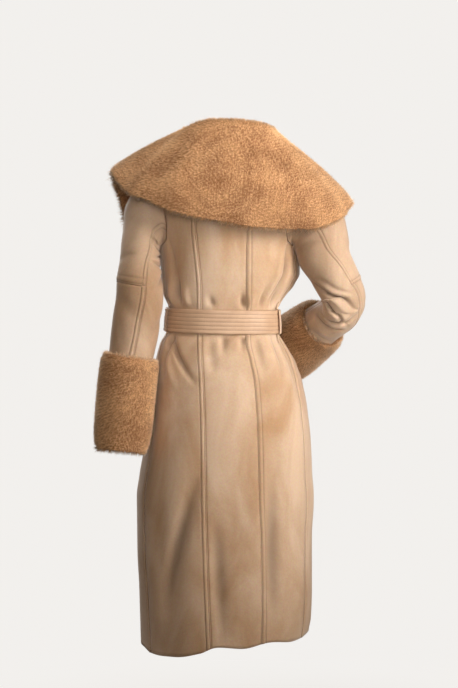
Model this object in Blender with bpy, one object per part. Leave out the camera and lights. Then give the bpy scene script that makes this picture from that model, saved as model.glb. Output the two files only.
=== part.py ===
"""Belted midi coat of faux suede with a faux fur shawl collar and turned-back fur cuffs.

The coat is modelled as it is worn: the left arm hangs, the right arm is bent with its hand
at the front. Each cut piece is a wall of cloth of its own, 0.3 mm from its neighbours at
the seams. Metres, +Z up. The origin lies at the base of the neck, on the line of the
shoulders that carry the coat. The front faces -Y and the wearer's left is +X.
"""

import math
from collections import namedtuple

import bmesh
import bpy
import numpy as np
from mathutils import Vector

# Cloth and seams
CLOTH_WALL = 0.0030
SEAM_GAP = 0.0003
SHOULDER_GAP_GROWTH = 1.5
LAP_RISE = 0.0012
FRONT_OVERLAP_STEP = 0.0065
OVERLAP_START_TURN = 104.0
OVERLAP_BLEND_TURN = 28.0
OVERLAP_TOP = -0.240
OVERLAP_BLEND_DROP = 0.080

# Shoulders: above this level the cloth rounds over to the shoulder seam
SHOULDER_SPRING = -0.130
SHOULDER_ARC = 0.200
SHOULDER_RISE = 0.142
SHOULDER_SLOPE = 0.36
BODY_ROUNDNESS = 2.2

# Levels that the pieces share
UNDERARM_LEVEL = -0.235
NECKLINE_DIP = 0.093
SHOULDER_LEVEL = SHOULDER_SPRING + SHOULDER_ARC
TOP_ROW_LEVEL = SHOULDER_LEVEL - 0.004
SHOULDER_SEAM_LEVEL = SHOULDER_LEVEL - 0.0005
NECK_POINT_TURN = 23.0

# Armholes and sleeves
ARMHOLE_GAP = 0.0006
ARMHOLE_CLEAR_LEVEL = -0.205
ARMHOLE_CLEAR_DROP = 0.028
ARMHOLE_BLEND = 0.22
SLEEVE_LENGTH = 0.60
ELBOW_SEAM_SHARE = {"left": 0.578, "right": 0.467}
ELBOW_SEAM_RISE = 0.018
RIGHT_ELBOW_SHARE = 0.60
RIGHT_ELBOW_SPREAD = 0.06
SEAM_OPENING_AT_ARMHOLE = 12.0
SEAM_OPENING_REACH = 0.42
SEAM_OPENING_IN_ELBOW = 3.0
MEAN_SLEEVE_RADIUS = 0.05

# Belt
BELT_TOP = -0.3785
BELT_WIDTH = 0.0535
BELT_THICKNESS = 0.0036
BELT_CHANNELS = 6
BELT_RIB_DEPTH = 0.0009
BELT_SEAT = 0.0026
BELT_EASE = 0.0009
BELT_START_TURN = -176.0
BELT_END_TURN = 243.0
BELT_ROWS = 48
BELT_TAIL_NARROWING = 0.16
BELT_TAIL_TURN = 10.0
BELT_LAP_START = 140.0
BELT_LAP_TURN = 35.0
BUCKLE_LENGTH = 0.062
BUCKLE_BAR = 0.009
BUCKLE_THICKNESS = 0.0045
BUCKLE_GAP = 0.0005
BUCKLE_CORNER = 0.010
BUCKLE_MARGIN = 0.0015
BUCKLE_SEAT_TURN = 200.0
LOOP_WIDTH = 0.008
LOOP_THICKNESS = 0.0018
LOOP_STAND_OFF = 0.0030
LOOP_BEHIND_SEAM = 4.6

# Fur
COLLAR_THICKNESS = 0.016
COLLAR_ROLL_THICKNESS = 0.012
COLLAR_ROWS = 45
SHORTEST_FULL_FALL = 0.05
COLLAR_SEAT = 0.0016
RIGHT_LAPEL_LIFT = 0.0025
LAPEL_SEAM_INSET = 1.5
NECK_MIDDLE = (-0.006, -0.030)
STAND_THICKNESS = 0.007
STAND_TAPER = 0.003
LAPEL_PAD = 0.006
STAND_START = 0.022
STAND_BLEND = 0.030
CUFF_SEGMENTS = 24

# The collar's fall: shares of the way from the roll to the edge, the wall's thickness there
# and how far its face is rounded down.
COLLAR_FALL = (
    (0.06, 0.0135, 0.0),
    (0.18, 0.0160, 0.0),
    (0.36, 0.0160, 0.0),
    (0.55, 0.0160, 0.0),
    (0.74, 0.0160, 0.0),
    (0.90, 0.0150, 0.0),
    (0.975, 0.0110, 0.0022),
    (1.000, 0.0050, 0.0055),
)

# How far a cuff's fur face is sunk at its rounded ends, by the share of the way up.
CUFF_FACE = (
    (0.000, 0.0090),
    (0.020, 0.0036),
    (0.065, 0.0005),
    (0.300, 0.0),
    (0.550, 0.0),
    (0.800, 0.0),
    (0.940, 0.0),
    (0.985, 0.0022),
    (1.000, 0.0070),
)
CUFF_LINING_ROWS = (0.985, 0.5, 0.06, 0.006)

# The body's rings, from the hem up. Left, right, back and front are half sizes from the
# middle line, which lies a little in front of the neck. Lean lowers (or lifts) the wearer's
# left side, in metres per metre.
Ring = namedtuple("Ring", "level left right middle back front lean")
BODY_RINGS = (
    Ring(-1.128, 0.192, 0.192, -0.020, 0.176, 0.150, -0.087),
    Ring(-1.100, 0.193, 0.197, -0.020, 0.176, 0.150, -0.080),
    Ring(-1.000, 0.196, 0.200, -0.020, 0.174, 0.148, -0.060),
    Ring(-0.900, 0.200, 0.201, -0.020, 0.170, 0.145, -0.040),
    Ring(-0.820, 0.200, 0.205, -0.020, 0.166, 0.142, -0.020),
    Ring(-0.760, 0.194, 0.201, -0.020, 0.162, 0.138, -0.010),
    Ring(-0.700, 0.183, 0.198, -0.020, 0.158, 0.134, 0.000),
    Ring(-0.620, 0.172, 0.190, -0.019, 0.151, 0.128, 0.005),
    Ring(-0.560, 0.166, 0.180, -0.018, 0.144, 0.122, 0.010),
    Ring(-0.510, 0.160, 0.166, -0.016, 0.136, 0.114, 0.015),
    Ring(-0.470, 0.152, 0.146, -0.013, 0.125, 0.104, 0.020),
    Ring(-0.440, 0.138, 0.127, -0.010, 0.113, 0.096, 0.020),
    Ring(-0.434, 0.1335, 0.1235, -0.010, 0.110, 0.094, 0.020),
    Ring(-0.405, 0.131, 0.122, -0.010, 0.109, 0.093, 0.020),
    Ring(-0.378, 0.129, 0.1205, -0.010, 0.109, 0.094, 0.020),
    Ring(-0.368, 0.133, 0.125, -0.011, 0.112, 0.097, 0.020),
    Ring(-0.345, 0.141, 0.140, -0.013, 0.118, 0.102, 0.015),
    Ring(-0.320, 0.144, 0.160, -0.015, 0.123, 0.105, 0.010),
    Ring(-0.290, 0.145, 0.171, -0.015, 0.126, 0.107, 0.000),
    Ring(-0.235, 0.152, 0.166, -0.015, 0.129, 0.108, 0.000),
    Ring(-0.180, 0.164, 0.166, -0.014, 0.129, 0.106, 0.000),
    Ring(-0.130, 0.176, 0.178, -0.010, 0.123, 0.100, 0.000),
    Ring(-0.060, 0.186, 0.188, -0.006, 0.120, 0.094, 0.000),
    Ring(0.070, 0.190, 0.190, 0.000, 0.120, 0.092, 0.000),
)

# How far the hem drops (or lifts) round the skirt, by the turn from the centre of the back.
HemPoint = namedtuple("HemPoint", "turn drop")
HEM = (
    HemPoint(-180, 0.0),
    HemPoint(-78, -0.004),
    HemPoint(-48, -0.007),
    HemPoint(-24, 0.004),
    HemPoint(-9, -0.002),
    HemPoint(7, 0.007),
    HemPoint(18, -0.004),
    HemPoint(42, -0.011),
    HemPoint(62, -0.008),
    HemPoint(80, 0.0),
    HemPoint(180, 0.0),
)

# Where each long seam of the back runs, as the distance of the seam from the middle of the
# body, towards the wearer's left.
BackSeam = namedtuple("BackSeam", "level left right")
BACK_SEAMS = (
    BackSeam(-1.128, 0.041, -0.071),
    BackSeam(-1.037, 0.045, -0.073),
    BackSeam(-0.915, 0.049, -0.072),
    BackSeam(-0.795, 0.052, -0.067),
    BackSeam(-0.686, 0.053, -0.065),
    BackSeam(-0.563, 0.055, -0.060),
    BackSeam(-0.485, 0.058, -0.048),
    BackSeam(-0.440, 0.059, -0.040),
    BackSeam(-0.355, 0.059, -0.041),
    BackSeam(-0.260, 0.066, -0.041),
    BackSeam(-0.168, 0.074, -0.041),
    BackSeam(-0.060, 0.077, -0.055),
    BackSeam(0.070, 0.075, -0.075),
)

# Where the side seams run, in degrees from the centre of the back.
SideSeam = namedtuple("SideSeam", "level left right")
SIDE_SEAMS = (
    SideSeam(-1.128, 62.0, 59.0),
    SideSeam(-0.800, 67.0, 60.0),
    SideSeam(-0.560, 70.0, 63.0),
    SideSeam(-0.405, 75.0, 71.0),
    SideSeam(-0.300, 73.0, 64.0),
    SideSeam(-0.235, 72.0, 64.0),
)

# Each armhole from the underarm to the shoulder tip: how far the edge lies from the centre
# of the back, in degrees, behind the arm and in front of it.
Armhole = namedtuple("Armhole", "level behind before")
ARMHOLE = (
    Armhole(-0.235, 0.0, 0.0),
    Armhole(-0.228, -8.0, 16.0),
    Armhole(-0.205, -14.0, 33.0),
    Armhole(-0.165, -17.0, 44.0),
    Armhole(-0.110, -17.0, 50.0),
    Armhole(-0.050, -15.0, 51.0),
    Armhole(0.010, -12.0, 50.0),
    Armhole(0.070, -8.0, 49.0),
)
SHOULDER_TIP_TURN = 62.0

# The front edge of each front: how far it lies from the middle of the body, on the side of
# the arm that it belongs to. Below the waist the fronts wrap over each other.
FrontEdge = namedtuple("FrontEdge", "level reach")
FRONT_EDGE = (
    FrontEdge(-1.128, -0.085),
    FrontEdge(-0.440, -0.080),
    FrontEdge(-0.365, -0.062),
    FrontEdge(-0.320, -0.022),
    FrontEdge(-0.270, 0.008),
    FrontEdge(-0.190, 0.034),
    FrontEdge(-0.100, 0.054),
    FrontEdge(-0.020, 0.070),
    FrontEdge(0.070, 0.075),
)

# Folds of the body cloth. Turn is in degrees from the centre of the back towards the
# wearer's left. A negative depth is a trough. Swell says where the fold is deepest: below
# one near its upper end, above one near its lower end.
Fold = namedtuple("Fold", "turn_high level_high turn_low level_low width depth swell")
FOLDS = (
    Fold(50, -0.300, 52, -0.374, 0.009, -0.0090, 2.2),
    Fold(61, -0.290, 63, -0.374, 0.010, 0.0060, 2.0),
    Fold(40, -0.310, 41, -0.374, 0.010, 0.0035, 2.0),
    Fold(-11, -0.340, -13, -0.374, 0.007, -0.0060, 2.2),
    Fold(-22, -0.330, -20, -0.374, 0.009, 0.0035, 2.0),
    Fold(-34, -0.320, -35, -0.374, 0.009, -0.0055, 2.2),
    Fold(-50, -0.300, -52, -0.374, 0.010, -0.0070, 2.2),
    Fold(15, -0.335, 14, -0.374, 0.010, -0.0035, 2.0),
    Fold(100, -0.300, 98, -0.374, 0.012, -0.0070, 2.0),
    Fold(122, -0.305, 124, -0.374, 0.012, -0.0060, 2.0),
    Fold(-100, -0.300, -98, -0.374, 0.012, -0.0070, 2.0),
    Fold(-124, -0.305, -121, -0.374, 0.012, -0.0060, 2.0),
    Fold(60, -0.436, 59, -0.540, 0.011, -0.0100, 0.5),
    Fold(58, -0.437, 24, -0.545, 0.010, -0.0065, 0.8),
    Fold(68, -0.436, 45, -0.560, 0.014, 0.0050, 0.7),
    Fold(3, -0.436, 4, -0.475, 0.008, -0.0045, 0.5),
    Fold(-11, -0.436, -10, -0.470, 0.008, -0.0045, 0.5),
    Fold(12, -0.438, 10, -0.520, 0.014, -0.0035, 0.8),
    Fold(-27, -0.438, -26, -0.520, 0.013, -0.0040, 0.7),
    Fold(-52, -0.436, -46, -0.540, 0.012, -0.0045, 0.6),
    Fold(-66, -0.436, -58, -0.600, 0.014, -0.0050, 0.6),
    Fold(100, -0.436, 104, -0.560, 0.014, -0.0080, 0.6),
    Fold(126, -0.436, 130, -0.560, 0.014, -0.0070, 0.6),
    Fold(-100, -0.436, -105, -0.560, 0.014, -0.0080, 0.6),
    Fold(-126, -0.436, -130, -0.560, 0.014, -0.0070, 0.6),
    Fold(24, -0.700, 42, -1.100, 0.030, -0.0070, 1.0),
    Fold(8, -0.820, 6, -1.125, 0.026, -0.0045, 1.2),
    Fold(-30, -0.720, -24, -1.000, 0.026, -0.0050, 0.8),
    Fold(-40, -0.620, -34, -0.820, 0.024, -0.0040, 1.0),
    Fold(-52, -0.900, -48, -1.128, 0.024, 0.0050, 1.2),
    Fold(60, -0.760, 52, -1.128, 0.026, 0.0050, 1.3),
    Fold(110, -0.640, 118, -1.120, 0.034, -0.0080, 1.2),
    Fold(142, -0.700, 138, -1.120, 0.032, -0.0070, 1.2),
    Fold(-112, -0.640, -120, -1.120, 0.034, -0.0080, 1.2),
    Fold(-146, -0.720, -140, -1.120, 0.030, -0.0060, 1.2),
)

# Sleeve rings from the armhole to the wrist: the middle of the ring, the direction of the
# back of the arm, how many degrees the ring leans back towards the shoulder, the half size
# towards the back and the half size across it.
SleeveRing = namedtuple("SleeveRing", "x y z back_x back_y back_z tilt deep wide")
LEFT_SLEEVE = (
    SleeveRing(0.160, 0.006, -0.146, 0, 1, 0, 45, 0.0720, 0.0930),
    SleeveRing(0.173, 0.014, -0.158, 0, 1, 0, 42, 0.0700, 0.0830),
    SleeveRing(0.183, 0.022, -0.179, 0, 1, 0, 44, 0.0660, 0.0707),
    SleeveRing(0.189, 0.029, -0.207, 0, 1, 0, 36, 0.0610, 0.0553),
    SleeveRing(0.1915, 0.035, -0.2365, 0, 1, 0, 18, 0.0570, 0.0459),
    SleeveRing(0.1925, 0.039, -0.259, 0, 1, 0, 4, 0.0540, 0.0454),
    SleeveRing(0.1945, 0.043, -0.285, 0, 1, 0, 0, 0.0520, 0.0480),
    SleeveRing(0.1945, 0.049, -0.3325, 0, 1, 0, 0, 0.0520, 0.0525),
    SleeveRing(0.2020, 0.054, -0.400, 0, 1, 0, 0, 0.0520, 0.0535),
    SleeveRing(0.2120, 0.058, -0.465, 0, 1, 0, 0, 0.0500, 0.0510),
    SleeveRing(0.2205, 0.061, -0.520, 0, 1, 0, 0, 0.0480, 0.0480),
    SleeveRing(0.2290, 0.065, -0.600, 0, 1, 0, 0, 0.0475, 0.0475),
    SleeveRing(0.2380, 0.069, -0.690, 0, 1, 0, 0, 0.0475, 0.0475),
)
RIGHT_SLEEVE = (
    SleeveRing(-0.160, 0.006, -0.146, 0, 1, 0, 30, 0.0720, 0.0930),
    SleeveRing(-0.180, 0.011, -0.160, -0.05, 1, 0.05, 22, 0.0700, 0.0825),
    SleeveRing(-0.196, 0.018, -0.177, -0.12, 0.95, 0.12, 20, 0.0660, 0.0775),
    SleeveRing(-0.208, 0.025, -0.199, -0.20, 0.92, 0.20, 20, 0.0610, 0.0730),
    SleeveRing(-0.2155, 0.033, -0.2235, -0.28, 0.88, 0.28, 20, 0.0570, 0.0685),
    SleeveRing(-0.222, 0.042, -0.255, -0.36, 0.84, 0.34, 12, 0.0540, 0.0650),
    SleeveRing(-0.239, 0.051, -0.294, -0.43, 0.80, 0.38, 3, 0.0520, 0.0545),
    SleeveRing(-0.2568, 0.0567, -0.3322, -0.496, 0.789, 0.363, 0, 0.0460, 0.0545),
    SleeveRing(-0.2627, 0.0564, -0.3486, -0.623, 0.783, 0.007, 0, 0.0430, 0.0560),
    SleeveRing(-0.2645, 0.0510, -0.3650, -0.662, 0.664, -0.349, 0, 0.0420, 0.0560),
    SleeveRing(-0.2619, 0.0412, -0.3791, -0.606, 0.451, -0.656, 0, 0.0425, 0.0540),
    SleeveRing(-0.2554, 0.0284, -0.3889, -0.520, 0.170, -0.840, 0, 0.0450, 0.0490),
    SleeveRing(-0.2405, 0.0030, -0.4020, -0.580, 0.080, -0.810, 0, 0.0470, 0.0465),
    SleeveRing(-0.2240, -0.0235, -0.4160, -0.607, 0.0, -0.791, 0, 0.0485, 0.0440),
    SleeveRing(-0.1850, -0.0920, -0.4545, -0.607, 0.0, -0.791, 0, 0.0530, 0.0420),
    SleeveRing(-0.1460, -0.1610, -0.4935, -0.607, 0.0, -0.791, 0, 0.0550, 0.0420),
)

# Seams of the sleeves, in degrees round the arm from the back of it towards the top, at
# shares of the way down the sleeve: the seam behind and the seam before the arm.
SleeveSeam = namedtuple("SleeveSeam", "share behind before")
LEFT_SLEEVE_SEAMS = (
    SleeveSeam(0.00, -38.57, -141.43),
    SleeveSeam(0.25, -36.0, -145.0),
    SleeveSeam(0.45, -24.0, -150.0),
    SleeveSeam(0.70, -6.0, -158.0),
    SleeveSeam(1.00, 0.0, -160.0),
)
RIGHT_SLEEVE_SEAMS = (
    SleeveSeam(0.000, -38.57, -141.43),
    SleeveSeam(0.205, -27.0, -145.0),
    SleeveSeam(0.336, -22.0, -147.0),
    SleeveSeam(0.467, -8.0, -148.0),
    SleeveSeam(0.600, 6.0, -150.0),
    SleeveSeam(0.733, 8.0, -155.0),
    SleeveSeam(1.000, 0.0, -160.0),
)

# Folds across a sleeve: the share of the way down, the degrees round the arm from the back
# towards the top, the slant (share per 100 degrees), the reach round the arm in degrees,
# the width along the arm and the depth.
SleeveFold = namedtuple("SleeveFold", "share around slant reach width depth")
LEFT_SLEEVE_FOLDS = (
    SleeveFold(0.20, -60, 0.05, 50, 0.014, -0.0035),
    SleeveFold(0.33, -80, -0.04, 45, 0.012, -0.0030),
    SleeveFold(0.46, 60, 0.05, 60, 0.012, -0.0025),
    SleeveFold(0.56, -70, 0.06, 50, 0.012, -0.0030),
    SleeveFold(0.64, 30, -0.05, 60, 0.013, -0.0025),
)
RIGHT_SLEEVE_FOLDS = (
    SleeveFold(0.42, -60, 0.06, 60, 0.016, -0.0045),
    SleeveFold(0.53, -62, 0.04, 62, 0.014, -0.0060),
    SleeveFold(0.60, -62, 0.01, 60, 0.013, -0.0060),
    SleeveFold(0.67, -62, -0.03, 58, 0.014, -0.0055),
    SleeveFold(0.75, -58, -0.04, 55, 0.014, -0.0040),
    SleeveFold(0.26, -40, 0.08, 45, 0.016, -0.0035),
)

# Each turned-back cuff of fur: the share of the way down the sleeve at which it starts, how
# far its fur reaches out from the sleeve at the upper and at the lower end, and how far it
# swells between them.
Cuff = namedtuple("Cuff", "start out_high out_low swell")
CUFFS = {
    "left": Cuff(0.785, 0.0165, 0.0150, 0.0025),
    "right": Cuff(0.868, 0.0165, 0.0215, 0.0010),
}
CUFF_CLEAR_LOW = 0.0022
CUFF_CLEAR_HIGH = 0.0036
BODY_CLEAR = 0.0016
FUR_CLEAR = 0.0040

# The shawl collar from the end of the left lapel round the neck to the end of the right
# one. Its seam lies on a front edge, at a level, or on the back neckline, at a turn in
# degrees. Then come the roll line, the outer edge of the fur, and how far the fall swells.
CollarStation = namedtuple(
    "CollarStation", "place seam roll_x roll_y roll_z edge_x edge_y edge_z swell"
)
COLLAR = (
    CollarStation("left", -0.270, 0.018, -0.138, -0.270, 0.052, -0.150, -0.290, 0.002),
    CollarStation("left", -0.235, 0.029, -0.140, -0.235, 0.132, -0.160, -0.280, 0.006),
    CollarStation("left", -0.190, 0.040, -0.138, -0.190, 0.185, -0.154, -0.247, 0.008),
    CollarStation("left", -0.120, 0.054, -0.128, -0.120, 0.222, -0.134, -0.195, 0.010),
    CollarStation("left", -0.055, 0.066, -0.104, -0.055, 0.231, -0.110, -0.146, 0.010),
    CollarStation("left", 0.012, 0.080, -0.062, -0.002, 0.250, -0.060, -0.090, 0.009),
    CollarStation("neck", 23.0, 0.089, -0.010, 0.028, 0.2560, 0.000, -0.061, 0.006),
    CollarStation("neck", 17.0, 0.080, 0.038, 0.032, 0.232, 0.070, -0.101, 0.008),
    CollarStation("neck", 11.0, 0.056, 0.068, 0.043, 0.175, 0.125, -0.132, 0.014),
    CollarStation("neck", 5.0, 0.022, 0.086, 0.047, 0.099, 0.155, -0.162, 0.016),
    CollarStation("neck", -1.0, -0.012, 0.090, 0.047, 0.011, 0.165, -0.178, 0.016),
    CollarStation("neck", -7.0, -0.046, 0.082, 0.044, -0.071, 0.158, -0.191, 0.016),
    CollarStation("neck", -13.0, -0.078, 0.061, 0.040, -0.156, 0.140, -0.194, 0.016),
    CollarStation("neck", -18.0, -0.098, 0.032, 0.034, -0.226, 0.110, -0.181, 0.014),
    CollarStation("neck", -23.0, -0.106, 0.002, 0.031, -0.270, 0.060, -0.152, 0.010),
    CollarStation("right", 0.030, -0.103, -0.030, 0.018, -0.289, 0.008, -0.131, 0.010),
    CollarStation("right", 0.000, -0.092, -0.066, -0.008, -0.280, -0.050, -0.158, 0.013),
    CollarStation("right", -0.055, -0.074, -0.104, -0.060, -0.250, -0.102, -0.200, 0.010),
    CollarStation("right", -0.120, -0.057, -0.128, -0.120, -0.200, -0.145, -0.250, 0.010),
    CollarStation("right", -0.190, -0.040, -0.140, -0.190, -0.140, -0.166, -0.295, 0.008),
    CollarStation("right", -0.250, -0.020, -0.146, -0.250, -0.065, -0.168, -0.330, 0.006),
    CollarStation("right", -0.310, 0.016, -0.148, -0.310, -0.002, -0.164, -0.354, 0.004),
    CollarStation("right", -0.350, 0.046, -0.140, -0.350, 0.040, -0.150, -0.366, 0.002),
)

# Colours and finishes
SUEDE = (0.66, 0.46, 0.31)
FUR = (0.50, 0.22, 0.09)
LEATHER = (0.60, 0.37, 0.22)


def smooth_line(places, values):
    """Returns a function that follows the table's values on a curve without overshoot."""
    places = np.asarray(places, float)
    values = np.asarray(values, float)
    steps = np.diff(places)
    slopes = np.diff(values) / steps
    tangents = np.zeros(len(places))
    tangents[0], tangents[-1] = slopes[0], slopes[-1]
    for row in range(1, len(places) - 1):
        before, after = slopes[row - 1], slopes[row]
        if before * after > 0:
            tangents[row] = 2 * before * after / (before + after)

    def value_at(place):
        row = int(np.clip(np.searchsorted(places, place) - 1, 0, len(steps) - 1))
        share = min(max((place - places[row]) / steps[row], 0.0), 1.0)
        start = values[row] + share * steps[row] * tangents[row]
        end = values[row + 1] - (1 - share) * steps[row] * tangents[row + 1]
        ease = share * share * (3 - 2 * share)
        return float(start + (end - start) * ease)

    return value_at


def column_lines(table, place, names):
    """Makes a smooth line for each named column of a table, along its place column."""
    places = [getattr(row, place) for row in table]
    return {name: smooth_line(places, [getattr(row, name) for row in table]) for name in names}


def rising(share):
    """Eases from 0 to 1."""
    share = min(max(share, 0.0), 1.0)
    return share * share * (3 - 2 * share)


BODY = column_lines(BODY_RINGS, "level", ("left", "right", "middle", "back", "front", "lean"))
BACK_LINES = column_lines(BACK_SEAMS, "level", ("left", "right"))
SIDE_LINES = column_lines(SIDE_SEAMS, "level", ("left", "right"))
FRONT_LINE = column_lines(FRONT_EDGE, "level", ("reach",))["reach"]
HEM_LINE = column_lines(HEM, "turn", ("drop",))["drop"]


def signed_power(value, power):
    """The power of a number's size, with the number's sign."""
    return math.copysign(abs(value) ** power, value)


def plain_body(turn, level):
    """A point of the body cloth before its folds."""
    angle = math.radians(turn)
    over = min(max((level - SHOULDER_SPRING) / SHOULDER_ARC, 0.0), 1.0) * math.pi / 2
    width = BODY["left"](level) if math.sin(angle) > 0 else BODY["right"](level)
    depth = BODY["back"](level) if math.cos(angle) > 0 else BODY["front"](level)
    x = width * signed_power(math.sin(angle), 2 / BODY_ROUNDNESS)
    y = depth * signed_power(math.cos(angle), 2 / BODY_ROUNDNESS) * math.cos(over)
    height = min(level, SHOULDER_SPRING) + SHOULDER_RISE * math.sin(over)
    slope = SHOULDER_SLOPE * math.sin(over) ** 2
    return Vector((x, BODY["middle"](level) * math.cos(over) + y,
                   height + BODY["lean"](level) * x - slope * abs(x)))


def fold_height(turn, level):
    """How far the folds push the cloth out at one place."""
    total = 0.0
    turn = (turn + 180) % 360 - 180
    for fold in FOLDS:
        share = (fold.level_high - level) / (fold.level_high - fold.level_low)
        if not 0 < share < 1:
            continue
        centre = fold.turn_high + (fold.turn_low - fold.turn_high) * share
        across = math.radians(turn - centre) * BODY["left"](level) / fold.width
        window = math.sin(math.pi * share ** fold.swell)
        total += fold.depth * window * math.exp(-across * across)
    return total


def body_normal(turn, level):
    """The direction out of the body cloth, before its folds."""
    if level > TOP_ROW_LEVEL:
        return Vector((0.0, 0.0, 1.0))
    step_turn, step_level = 0.5, 0.002
    high = min(level + step_level, TOP_ROW_LEVEL)
    low = high - 2 * step_level
    along = plain_body(turn, high) - plain_body(turn, low)
    across = plain_body(turn + step_turn, level) - plain_body(turn - step_turn, level)
    return along.cross(across).normalized()


def body_point(turn, level, out=0.0):
    """A point of the folded cloth, moved out by the given distance."""
    return plain_body(turn, level) + body_normal(turn, level) * (fold_height(turn, level) + out)


def turn_at(distance, level):
    """The turn at which the back lies this far from the middle of the body."""
    width = BODY["left"](level) if distance > 0 else BODY["right"](level)
    share = min(abs(distance) / width, 1.0)
    return math.copysign(math.degrees(math.asin(share ** (BODY_ROUNDNESS / 2))), distance)


def new_object(name, mesh_maker, material):
    """Puts a finished bmesh in the coat's collection as a named, smooth-shaded object."""
    mesh = bpy.data.meshes.new(name)
    mesh_maker.to_mesh(mesh)
    mesh_maker.free()
    mesh.materials.append(material)
    mesh.shade_smooth()
    mesh.set_sharp_from_angle(angle=math.radians(50))
    made = bpy.data.objects.new(name, mesh)
    coat.objects.link(made)
    return made


def place_grid(mesh_maker, points):
    """Lays a grid of faces on rows of points and returns its vertices, row by row."""
    rows, columns = len(points), len(points[0])
    made = bmesh.ops.create_grid(mesh_maker, x_segments=columns - 1, y_segments=rows - 1, size=1)
    for vertex, place in zip(made["verts"], (place for row in points for place in row)):
        vertex.co = place
    return made["verts"]


def cloth_wall(name, face, back, material):
    """Makes one closed wall between two matching grids of points, its face and its back."""
    mesh_maker = bmesh.new()
    for points in (face, back):
        place_grid(mesh_maker, points)
    open_edges = [edge for edge in mesh_maker.edges if edge.is_boundary]
    bmesh.ops.bridge_loops(mesh_maker, edges=open_edges)
    bmesh.ops.recalc_face_normals(mesh_maker, faces=mesh_maker.faces)
    return new_object(name, mesh_maker, material)


def ring_band(name, sections, material):
    """Makes a closed band from a ring of like sections, each a closed outline of points."""
    mesh_maker = bmesh.new()
    closed_sections = [section + section[:1] for section in sections + sections[:1]]
    place_grid(mesh_maker, closed_sections)
    bmesh.ops.remove_doubles(mesh_maker, verts=mesh_maker.verts, dist=0.00001)
    bmesh.ops.recalc_face_normals(mesh_maker, faces=mesh_maker.faces)
    return new_object(name, mesh_maker, material)


def principled(name, colour, roughness, sheen):
    """A plain material for one of the coat's finishes."""
    material = bpy.data.materials.new(name)
    material.use_nodes = True
    shader = material.node_tree.nodes["Principled BSDF"]
    shader.inputs["Base Color"].default_value = (*colour, 1.0)
    shader.inputs["Roughness"].default_value = roughness
    shader.inputs["Metallic"].default_value = 0.0
    shader.inputs["Sheen Weight"].default_value = sheen
    return material


# Levels of the cloth's rows, shared by all the body pieces so that their seams meet
LOWER_LEVELS = list(np.linspace(-1.128, -0.560, 15)) + [
    -0.525, -0.490, -0.458, -0.434, -0.405, -0.377, -0.354, -0.325, -0.295, -0.265
]
UPPER_SHARES = np.linspace(0, 1, 8)


def upper_levels():
    """Levels of the rows from the underarm to the shoulder seam."""
    return [UNDERARM_LEVEL + (SHOULDER_LEVEL - UNDERARM_LEVEL) * share for share in UPPER_SHARES]


def body_panel(name, first_side, last_side, columns, material, dip=0.0, step=None):
    """Makes one panel of the body between two sides.

    A side is a list of (turn, level), one for each row. Columns holds pairs: the share of
    the way from the first side to the last, and how far the face is raised there.
    """
    face, back = [], []
    count = len(first_side)
    lower_count = len(LOWER_LEVELS)
    for row in range(count):
        (turn_a, level_a), (turn_b, level_b) = first_side[row], last_side[row]
        rise = max(row - lower_count, 0) / (count - 1 - lower_count)
        radius = max(BODY["left"](level_a), 0.1)
        gap = SEAM_GAP / 2 * (1 + SHOULDER_GAP_GROWTH * rise)
        gap_turn = math.degrees(gap / radius) * (1 if turn_b > turn_a else -1)
        face_row, back_row = [], []
        for share, out in columns:
            turn = turn_a + gap_turn + (turn_b - turn_a - 2 * gap_turn) * share
            level = level_a + (level_b - level_a) * share
            level -= dip * rise ** 1.6 * (1 - (2 * share - 1) ** 2)
            if row == 0:
                level += HEM_LINE((turn + 180) % 360 - 180)
            level = min(level, SHOULDER_SEAM_LEVEL)
            lift = step(turn, level) if step else 0.0
            face_row.append(body_point(turn, level, lift + out))
            back_row.append(body_point(turn, level, lift - CLOTH_WALL))
        face.append(face_row)
        back.append(back_row)
    return cloth_wall(name, face, back, material)


def back_seam(side):
    """The long seam of one side of the back, from the hem to the shoulder at the neck."""
    levels = LOWER_LEVELS + upper_levels()
    return [(turn_at(BACK_LINES[side](level), level), level) for level in levels]


def side_seam(side, edge):
    """The side seam and then the armhole's edge behind or before the arm."""
    sign = 1 if side == "left" else -1
    lower = [(sign * SIDE_LINES[side](level), level) for level in LOWER_LEVELS]
    underarm = SIDE_LINES[side](UNDERARM_LEVEL)
    upper = []
    for share in UPPER_SHARES:
        row = share * (len(ARMHOLE) - 1)
        level = smooth_line(range(len(ARMHOLE)), [hole.level for hole in ARMHOLE])(row)
        shift = smooth_line(range(len(ARMHOLE)), [getattr(hole, edge) for hole in ARMHOLE])(row)
        tip = (SHOULDER_TIP_TURN if edge == "behind" else 180 - SHOULDER_TIP_TURN)
        end = ARMHOLE[-1].behind if edge == "behind" else ARMHOLE[-1].before
        pull = rising(share) * (tip - underarm - end)
        upper.append((sign * (underarm + shift + pull), level))
    return lower + upper


def front_edge(side):
    """The free edge of one front, up to the shoulder at the neck."""
    sign = 1 if side == "left" else -1
    levels = LOWER_LEVELS + upper_levels()
    edge = []
    for level in levels:
        reach = sign * FRONT_LINE(level)
        turn = turn_at(reach, level)
        edge.append((math.copysign(180, sign) - turn, level))
    return edge


def over_step(turn, level):
    """Moves the right front out where it lies over the left one."""
    across = rising((abs(turn) - OVERLAP_START_TURN) / OVERLAP_BLEND_TURN)
    return FRONT_OVERLAP_STEP * across * rising((OVERLAP_TOP - level) / OVERLAP_BLEND_DROP)


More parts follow.
